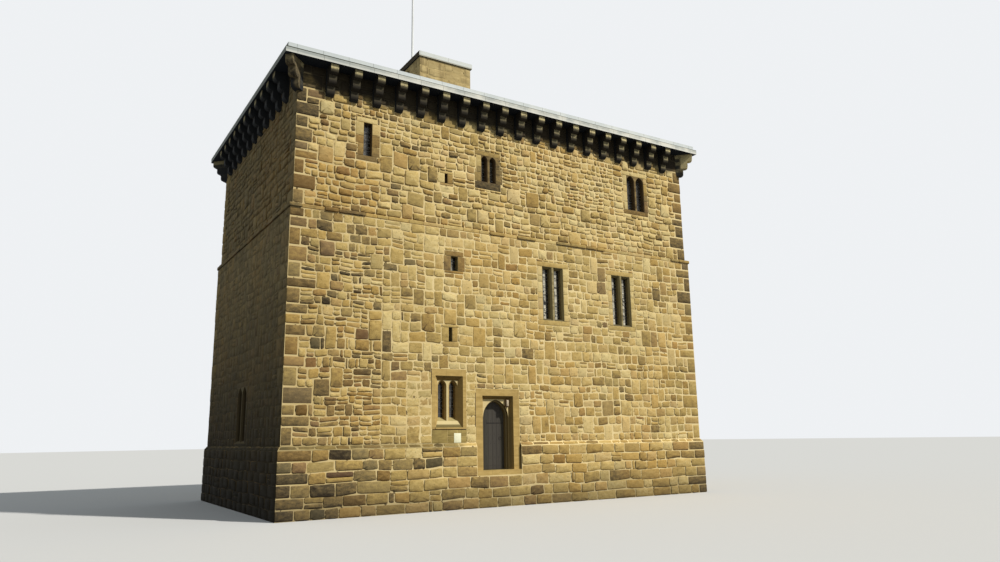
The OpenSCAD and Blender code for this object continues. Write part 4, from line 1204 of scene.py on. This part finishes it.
# %% Lay one face
def in_zones(run, zones, style):
    """Cuts a run where a zone begins or ends, and gives each part its style."""
    cuts = {run[0], run[1]}
    near = [zone for zone in zones if zone[2] <= run[2] and run[3] <= zone[3] + TINY]
    cuts |= {u for zone in near for u in zone[:2] if run[0] < u < run[1]}
    cuts = sorted(cuts)
    for u0, u1 in zip(cuts, cuts[1:]):
        inside = [zone[4] for zone in near if zone[0] < (u0 + u1) / 2 < zone[1]]
        yield (u0, u1, *run[2:]), (inside or [style])[0]


def lay_face(face, levels, reach, holes, zones, style, draw):
    """The plan of all the stones of one face."""
    plan, jumpers, last = [], [], len(levels) - 2
    for course, (v0, v1) in enumerate(zip(levels, levels[1:])):
        begin, stop = reach[course]
        above = None
        if course < last:
            above = (v1, levels[course + 2], reach[course + 1][0], face.length - reach[course + 1][1])
        fresh = []
        for run in free_runs(v0, v1, begin, face.length - stop, holes + jumpers):
            for part, kind in in_zones(run, zones, style):
                lay_run(part, kind, draw, plan, above, fresh, holes)
        jumpers = fresh
    return plan


# %% Lay one stage
def lay_stage(name, low, high, levels, style, least, quoins, seed, extra=()):
    """Every stone of one stage: one piece for the front and one for the other three sides.

    Quoins are at least this high, and have a long and a short side. Extra boxes are kept free too.
    """
    draw = random.Random(seed)
    faces = four_faces(low, high)
    corner_packs, reach = lay_quoins(faces, levels, least, *quoins, style, draw)
    packs = {"front": [], "sides": []}
    blocking = window_solids + doorway_solids + corbel_solids + list(extra)
    for number, face in enumerate(faces):
        near = face.name == "front"
        # The left wall's stones are painted darker, as shade.
        left_shade = LEFT_SHADE if face.name == "left" else 0
        kind = style._replace(shade=style.shade - left_shade, dark=0) if left_shade else style
        holes = holes_in(face, blocking)
        for *rect, tone in rings_of(face, levels, name, draw):
            proud = draw.uniform(0.004, 0.010)
            ring_packs.append(flat_block(face, rect, tone - left_shade, proud, RING_JOINT, RING_ARRIS))
            holes.append(tuple(rect))
        if near and name == "lower":
            holes.append(APRON)
        zones = FRONT_ZONES.get(name, []) if near else []
        plan = lay_face(face, levels, reach[number], holes, zones, kind, draw)
        corners = settled(plan, holes, (levels[0], levels[-1]), seed + number)
        shapes = fine_shapes if near else plain_shapes
        packs["front" if near else "sides"] += stones_on(face, plan, corners, shapes)
    if name == "cap_house":
        packs["front"] += corner_packs
        corner_packs = []
    material = cap_ashlar if name == "cap_house" else rubble
    for side, stones in packs.items():
        make_piece(f"stones_{name}_{side}", stones, material)
    return corner_packs


# %% Levels of the beds
ring_packs = []
front_face = four_faces(-LOWER_HALF, LOWER_HALF)[0]
# Black slots painted as shadow in open joints and under the sill.
for rect in SHADOW_SLOTS:
    ring_packs.append(flat_block(front_face, rect, BLACK, 0.005, 0, 0.003))
draw = random.Random(11)
plinth_levels = beds(0.0, SLOPE_FOOT, 0.30, 0.42, draw)
lower_levels = beds(SLOPE_TOP, LOWER_TOP, 0.25, 0.38, draw)
upper_levels = beds(UPPER_FOOT, UPPER_TOP, 0.20, 0.34, draw)
cap_levels = beds(CAP_FOOT, CAP_TOP, 0.27, 0.36, draw)
print("courses:", [len(levels) - 1 for levels in (plinth_levels, lower_levels, upper_levels, cap_levels)])

# %% Lay the walls
corner_blocks = lay_stage("plinth", -PLINTH_HALF, PLINTH_HALF, plinth_levels, PLINTH,
                          least=0.30, quoins=(0.95, 0.55), seed=21)
corner_blocks += lay_stage("lower", -LOWER_HALF, LOWER_HALF, lower_levels, LOWER,
                           least=0.33, quoins=(0.86, 0.44), seed=31)
corner_blocks += lay_stage("upper", -UPPER_HALF, UPPER_HALF, upper_levels, UPPER,
                           least=0.30, quoins=(0.80, 0.42), seed=41)
corner_blocks += lay_stage("cap_house", *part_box("cap_house_walls"), cap_levels, CAP,
                           least=0.18, quoins=(0.5, 0.3), seed=51, extra=[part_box("cap_house_door")])
make_piece("corner_stones", corner_blocks, rubble)
make_piece("window_ring_stones", ring_packs, rubble)

# %% [markdown]
# The string course marks the level of the second floor. It once stood out from the wall all round,
# and it still does at the back and sides, but on the front it has mostly worn back to the wall's
# face, so that only a few stretches still throw a shadow. It is laid as separate stones that take
# the place of the one long measured moulding. The stones of the front and back run on past the
# corners, and those of the sides stop behind them.

# %% The string course
STRING_FOOT, STRING_TOP = 10.325, 10.475
STRING_OUT, STRING_WORN = 0.066, 0.013
STRING_STONE = 0.62
STRETCHES = ((-0.06, 0.40), (1.20, 2.72), (7.90, 8.60), (9.20, 10.10), (11.15, 13.70), (17.65, 18.82))


def string_stones(faces, seed):
    """One course of stones along each face, standing out only where it has not worn away."""
    draw, packs = random.Random(seed), []
    for face in faces:
        over = 0.05 if face.name in ("front", "back") else 0.0
        stretches = STRETCHES if face.name == "front" else ((-1, 99),)
        begin, stop = -over, face.length + over
        inner = (u for pair in stretches for u in pair if begin + 0.1 < u < stop - 0.1)
        cuts = sorted({begin, stop, *inner})
        for u0, u1 in zip(cuts, cuts[1:]):
            stands = any(a < (u0 + u1) / 2 < b for a, b in stretches)
            dark = stands and face.name == "front"
            for length in lengths(u1 - u0, STRING_STONE, draw):
                foot = STRING_FOOT - draw.uniform(0, 0.012)
                top = STRING_TOP + draw.uniform(-0.012, 0.004)
                out = (STRING_OUT if stands else STRING_WORN) * draw.uniform(0.7, 1.0)
                tone = draw.uniform(0.22, 0.38) if dark else draw.uniform(0.56, 0.76)
                # The left wall's stones are painted darker, as shade.
                tone -= LEFT_SHADE if face.name == "left" else 0
                packs.append(flat_block(face, (u0, u0 + length, foot, top), tone, out, 0.008, 0.034))
                u0 += length
    return packs


string_packs = string_stones(four_faces(-LOWER_HALF, LOWER_HALF), seed=71)
string_piece = make_piece("string_course_stones", string_packs, rubble)
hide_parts("string_course")

# %% [markdown]
# The plinth ends in a sloping course that throws rain off the foot of the wall. It is laid on four
# leaning faces, with mitred stones at the corners.

# %% The sloping course of the plinth
SLOPE_IN, SLOPE_RISE = 0.10, 0.13
SLOPING = Style(length=0.72, joint=0.014, proud=0.008, split=0, jump=0, dark=0.10, shade=0.46)


def lay_slope(faces, seed):
    """One course of stones on each leaning face, stopped at the doorway."""
    draw, packs = random.Random(seed), []
    height = math.hypot(SLOPE_IN, SLOPE_RISE)
    for number, face in enumerate(faces):
        upright = face._replace(up=UP, out=face.along.cross(UP))
        doorway = [hole for hole in holes_in(upright, doorway_solids) if hole[3] > SLOPE_FOOT]
        blocked = [(*hole[:2], -1, 1) for hole in doorway]
        plan = []
        for run in free_runs(0, height, SLOPE_IN, face.length - SLOPE_IN, blocked):
            lay_run(run, SLOPING, draw, plan)
        corners = settled(plan, blocked, (0, height), seed + number)
        corners[0, 0, 0] -= SLOPE_IN
        corners[-1, 1, 0] += SLOPE_IN
        packs += stones_on(face, plan, corners, plain_shapes)
    return packs


slope_faces = four_faces(-PLINTH_HALF, PLINTH_HALF, SLOPE_IN, SLOPE_RISE, SLOPE_FOOT)
make_piece("plinth_slope_stones", lay_slope(slope_faces, seed=61), rubble)

# %% [markdown]
# Under the ground window the wall is closed with a few large flush blocks, and a plain white plate
# without any writing is fixed to them.

# %% Blocks below the window
MIDDLING = 0.5
APRON_JOINT = 0.004
APRON_TOP = 2.79       # where the window's own stone begins


def box_piece(name, boxes, material, arris):
    """Squared blocks with rounded edges, joined as one piece: each box is (low, high)."""
    packs = [block_pack(low, high, MIDDLING, arris) for low, high in boxes]
    return make_piece(name, packs, material)


apron_boxes = []
for u0, u1, v0, v1 in ((APRON[0], 6.02, SLOPE_TOP, APRON[3]), (6.02, APRON[1], SLOPE_TOP, 2.56),
                       (6.02, 6.44, 2.56, APRON[3]), (6.44, APRON[1], 2.56, APRON[3])):
    low = (LEFT_X + u0 + APRON_JOINT / 2, FRONT_Y - 0.006, v0 + APRON_JOINT / 2)
    high = (LEFT_X + u1 - APRON_JOINT / 2, FRONT_Y + 0.05, min(v1, APRON_TOP) - APRON_JOINT / 2)
    apron_boxes.append((low, high))
box_piece("blocks_below_window", apron_boxes, damp_ashlar, 0.008)


# %% The bare plate
def smooth_finish(name, pale, deep, coat=0.0):
    """Paint, enamel or glass with a little dust on it."""
    material, wire = start_finish(name)
    dust = noise(wire, point_of(wire), 14, 3)
    base = blend(wire, dust.between(0.45, 0.8), pale, deep)
    finish(wire, base, 0.25 + dust * 0.3, dust, 0.0006, coat=coat)
    return material


plate_finish = smooth_finish("cream_enamel_plate", paint(255, 252, 216), paint(240, 234, 194))
PLATE = ((-3.102, FRONT_Y - 0.018, 2.332), (-2.815, FRONT_Y - 0.004, 2.672))
box_piece("bare_plate", [PLATE], plate_finish, 0.004)

# %% [markdown]
# Every window light is closed with small panes held in lead, and has iron bars in front: short
# saddle bars across, which the panes were once tied to, and a tall bar in the wider lights. Their
# places are read from the measured glass, whose thinnest side tells which way each light faces.

# %% Boxes and rods in a bmesh
CAME, CAME_DEEP = 0.012, 0.012
PANE_WIDE, PANE_TALL, PANE_OUT, PANE_TILT = 0.115, 0.150, 0.007, 0.0035
BAR_R, BAR_APART, BAR_OUT, BAR_INTO = 0.010, 0.36, 0.055, 0.03
WIDE_LIGHT = 0.4       # a light wider than this has a tall bar too


def add_box(mesh, low, high):
    """A plain box between two corners, added to a bmesh."""
    size = Matrix.Diagonal((*[b - a for a, b in zip(low, high)], 1))
    middle = [(a + b) / 2 for a, b in zip(low, high)]
    bmesh.ops.create_cube(mesh, size=1, matrix=Matrix.Translation(middle) @ size)


def add_rod(mesh, start, end, radius, sides=8, tip=None):
    """A round bar between two points, or a cone if its tip has another radius."""
    start, end = Vector(start), Vector(end)
    turn = (end - start).to_track_quat("Z", "Y").to_matrix().to_4x4()
    place = Matrix.Translation((start + end) / 2) @ turn
    bmesh.ops.create_cone(mesh, cap_ends=True, segments=sides, radius1=radius,
                          radius2=radius if tip is None else tip, depth=(end - start).length, matrix=place)


def bmesh_piece(name, mesh, material, body="keep", smooth=True):
    """Ends a bmesh as a piece."""
    bmesh.ops.recalc_face_normals(mesh, faces=mesh.faces)
    data = bpy.data.meshes.new(name)
    mesh.to_mesh(data)
    mesh.free()
    if smooth:
        data.shade_smooth()
        data.set_sharp_from_angle(angle=math.radians(40))
    return finish_piece(name, data, material, body)


def evenly(low, high, apart):
    """Places between low and high, about this far apart, without the ends."""
    count = max(1, round((high - low) / apart))
    return [low + (high - low) * i / count for i in range(1, count)]


# %% Panes
CUBE_TRIANGLES = np.array([(0, 2, 1), (1, 2, 3), (4, 5, 6), (5, 7, 6), (0, 1, 4), (1, 5, 4),
                           (2, 6, 3), (3, 6, 7), (0, 4, 2), (2, 4, 6), (1, 3, 5), (3, 7, 5)])
DUST = {"ground": 0.04, "first": 0.06, "upper": 0.24}


def pane_pack(low, high, thin, outward, tone, draw):
    """One pane as a thin box whose outer corners stand at slightly different depths."""
    ends = (low, high)
    points = [[ends[number >> axis & 1][axis] for axis in range(3)] for number in range(8)]
    for point in points:
        if point[thin] == ends[outward > 0][thin]:
            point[thin] += outward * draw.uniform(0.0, PANE_TILT)
    return np.array(points), CUBE_TRIANGLES, np.full(8, tone), np.zeros(8)


def panes_of(low, high, across, thin, outward, storey, draw):
    """All the panes of one light. In the front's barred windows the two left columns are painted pale, as
    sunlight.
    """
    middle, packs = (low[thin] + high[thin]) / 2, []
    columns, rows = ([low[axis], *evenly(low[axis], high[axis], apart), high[axis]]
                     for axis, apart in ((across, PANE_WIDE), (2, PANE_TALL)))
    for i, (u0, u1) in enumerate(zip(columns, columns[1:])):
        for v0, v1 in zip(rows, rows[1:]):
            a, b = low.copy(), high.copy()
            a[across], b[across], a.z, b.z = u0, u1, v0, v1
            a[thin], b[thin] = sorted((middle, middle + outward * PANE_OUT))
            painted_sunlit = storey == "first" and i < 2 and low.y < -5 and len(columns) > 3
            tone = draw.uniform(0.58, 0.84) if painted_sunlit else DUST[storey] + draw.uniform(0, 0.14)
            packs.append(pane_pack(a, b, thin, outward, tone, draw))
    return packs


# %% Leading and window bars
leading, bars, pane_packs = bmesh.new(), bmesh.new(), []
pane_draw = random.Random(91)
for storey in STOREYS:
    for low, high in solids_of(storey + "_window_glass"):
        across, thin = (0, 1) if high.x - low.x > high.y - low.y else (1, 0)
        outward = 1 if low[thin] > 0 else -1
        middle = (low[thin] + high[thin]) / 2
        pane_packs += panes_of(low, high, across, thin, outward, storey, pane_draw)
        for axis, apart in ((across, PANE_WIDE), (2, PANE_TALL)):
            for place in evenly(low[axis], high[axis], apart):
                a, b = low.copy(), high.copy()
                a[axis], b[axis] = place - CAME / 2, place + CAME / 2
                a[thin], b[thin] = middle - CAME_DEEP, middle + CAME_DEEP
                add_box(leading, a, b)
        a, b = low.copy(), high.copy()
        a[thin] = b[thin] = middle + outward * BAR_OUT
        for level in evenly(low.z, high.z, BAR_APART):
            a.z = b.z = level
            a[across], b[across] = low[across] - BAR_INTO, high[across] + BAR_INTO
            add_rod(bars, a, b, BAR_R)
        if high[across] - low[across] > WIDE_LIGHT:
            a.z, b.z = low.z - BAR_INTO, high.z + BAR_INTO
            a[across] = b[across] = (low[across] + high[across]) / 2
            add_rod(bars, a, b, BAR_R)
make_piece("window_panes", pane_packs, glass, smooth=False)
bmesh_piece("window_leading", leading, came_lead, smooth=False)
bmesh_piece("window_bars", bars, iron)

# %% [markdown]
# The door is plain: vertical boards, nailed through to the hinges inside. The nail heads are forged
# with four or five blows, so each is a low faceted cone. They move with the door, so they ride on it.

# %% Nail heads on the door
NAIL_R, NAIL_TIP, NAIL_OUT, NAIL_IN = 0.013, 0.004, 0.009, 0.004
NAIL_LEVELS = (1.46, 1.745, 1.785, 2.28, 2.62, 3.085, 3.135)
BOARDS = 6
leaf_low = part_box("door_leaf")[0]
nails = bmesh.new()
for level in NAIL_LEVELS:
    for board in range(BOARDS):
        nail_x = leaf_low.x + (board + 0.5) * BOARD
        foot, head = (nail_x, leaf_low.y + NAIL_IN, level), (nail_x, leaf_low.y - NAIL_OUT, level)
        add_rod(nails, foot, head, NAIL_R, 6, tip=NAIL_TIP)
bmesh_piece("door_nails", nails, iron, "door", smooth=False)

# %% [markdown]
# A small modern lamp hangs beside the arch. Its case and its lens are boxes with well rounded edges,
# and the front of the case is inset a little, to leave a lip round the lens.

# %% The lamp beside the arch
LAMP_X, LAMP_Z, LAMP_BACK = -0.735, 3.775, -5.54


def lamp_part(half_wide, half_tall, front, back, edge):
    """A rounded box round the lamp's middle, between two distances out from the recessed wall."""
    mesh = bmesh.new()
    low = (LAMP_X - half_wide, LAMP_BACK - front, LAMP_Z - half_tall)
    high = (LAMP_X + half_wide, LAMP_BACK - back, LAMP_Z + half_tall)
    add_box(mesh, low, high)
    bmesh.ops.bevel(mesh, geom=mesh.edges, offset=edge, segments=3, affect="EDGES", profile=0.5,
                    material=-1)
    return mesh


case_finish = smooth_finish("brown_lamp_case", paint(104, 80, 50), paint(72, 56, 38))
lens_finish = smooth_finish("lamp_lens", paint(196, 178, 148), paint(166, 150, 122), 0.3)
lamp = lamp_part(0.075, 0.14, 0.10, -0.01, 0.02)
front = [face for face in lamp.faces if face.normal.y < -0.9]
bmesh.ops.inset_region(lamp, faces=front, thickness=0.012, depth=-0.006)
bmesh_piece("door_lamp_case", lamp, case_finish)
bmesh_piece("door_lamp_lens", lamp_part(0.048, 0.11, 0.125, 0.08, 0.014), lens_finish)

# %% [markdown]
# A lead roof is laid in strips as wide as a sheet, and where two strips meet, their edges are dressed
# over a wooden roll. The rolls run up each slope to a fatter roll along the ridge or the hip.

# %% Lead rolls
ROLL_R, RIDGE_R, ROLL_APART = 0.026, 0.042, 0.66
ROLL_CLEAR, CAP_CLEAR = 0.02, 0.05      # left free at the eaves and round the cap house
roof_low, roof_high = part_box("roof_front")
half_long, half_deep, foot_z, ridge_z = roof_high.x, -roof_low.y, roof_low.z, roof_high.z
cap_low, cap_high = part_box("cap_house_walls")
pitch = (ridge_z - foot_z) / half_deep
ridge_half = half_long - half_deep


def on_roof(x, y):
    """The point of the roof's surface over a place on the plan."""
    return Vector((x, y, foot_z + pitch * min(half_deep - abs(y), half_long - abs(x))))


rolls = bmesh.new()
for side in (-1, 1):
    for place in evenly(-half_long, half_long, ROLL_APART):
        stop = min(half_long - abs(place), half_deep)
        spans = [(ROLL_CLEAR, stop)]
        if side < 0 and cap_low.x - ROLL_R < place < cap_high.x + ROLL_R:
            spans = [(ROLL_CLEAR, half_deep + cap_low.y - CAP_CLEAR),
                     (half_deep + cap_high.y + CAP_CLEAR, stop)]
        for span in spans:
            foot, head = (on_roof(place, side * (half_deep - in_by)) for in_by in span)
            add_rod(rolls, foot, head, ROLL_R)
    for place in evenly(-half_deep, half_deep, ROLL_APART):
        stop = half_deep - abs(place)
        foot, head = (on_roof(side * (half_long - in_by), place) for in_by in (ROLL_CLEAR, stop))
        add_rod(rolls, foot, head, ROLL_R)
    for end in (-1, 1):
        add_rod(rolls, on_roof(side * half_long, end * half_deep), on_roof(side * ridge_half, 0), RIDGE_R)
add_rod(rolls, on_roof(-ridge_half, 0), on_roof(ridge_half, 0), RIDGE_R)
bmesh_piece("lead_rolls", rolls, roof_lead)

# %% [markdown]
# The stage is a wide pale floor. It holds the keep's shadow, but only the camera, reflections and
# glass see its pale paint. To all other light it is a dull grey, so it does not glow up into the
# shaded walls.

# %% Floor
FLOOR_SIZE = 600
FLOOR_DULL, FLOOR_PALE = 0.16, 0.64
floor_mesh = bmesh.new()
bmesh.ops.create_grid(floor_mesh, x_segments=1, y_segments=1, size=FLOOR_SIZE / 2)
floor_data = bpy.data.meshes.new("floor")
floor_mesh.to_mesh(floor_data)
floor_mesh.free()
floor = bpy.data.objects.new("floor", floor_data)
scene.collection.objects.link(floor)
print("floor is", FLOOR_SIZE, "m wide")

floor_paint = bpy.data.materials.new("pale_floor")
floor_paint.use_nodes = True
floor_data.materials.append(floor_paint)
tree = floor_paint.node_tree
tree.nodes.clear()
shades = []
for albedo in (FLOOR_DULL, FLOOR_PALE):
    shade = tree.nodes.new("ShaderNodeBsdfDiffuse")
    shade.inputs["Color"].default_value = (albedo, albedo, albedo * 0.98, 1)
    shades.append(shade)
floor_end = tree.nodes.new("ShaderNodeOutputMaterial")
choose_for_camera(tree, shades[0].outputs[0], shades[1].outputs[0], floor_end.inputs["Surface"])
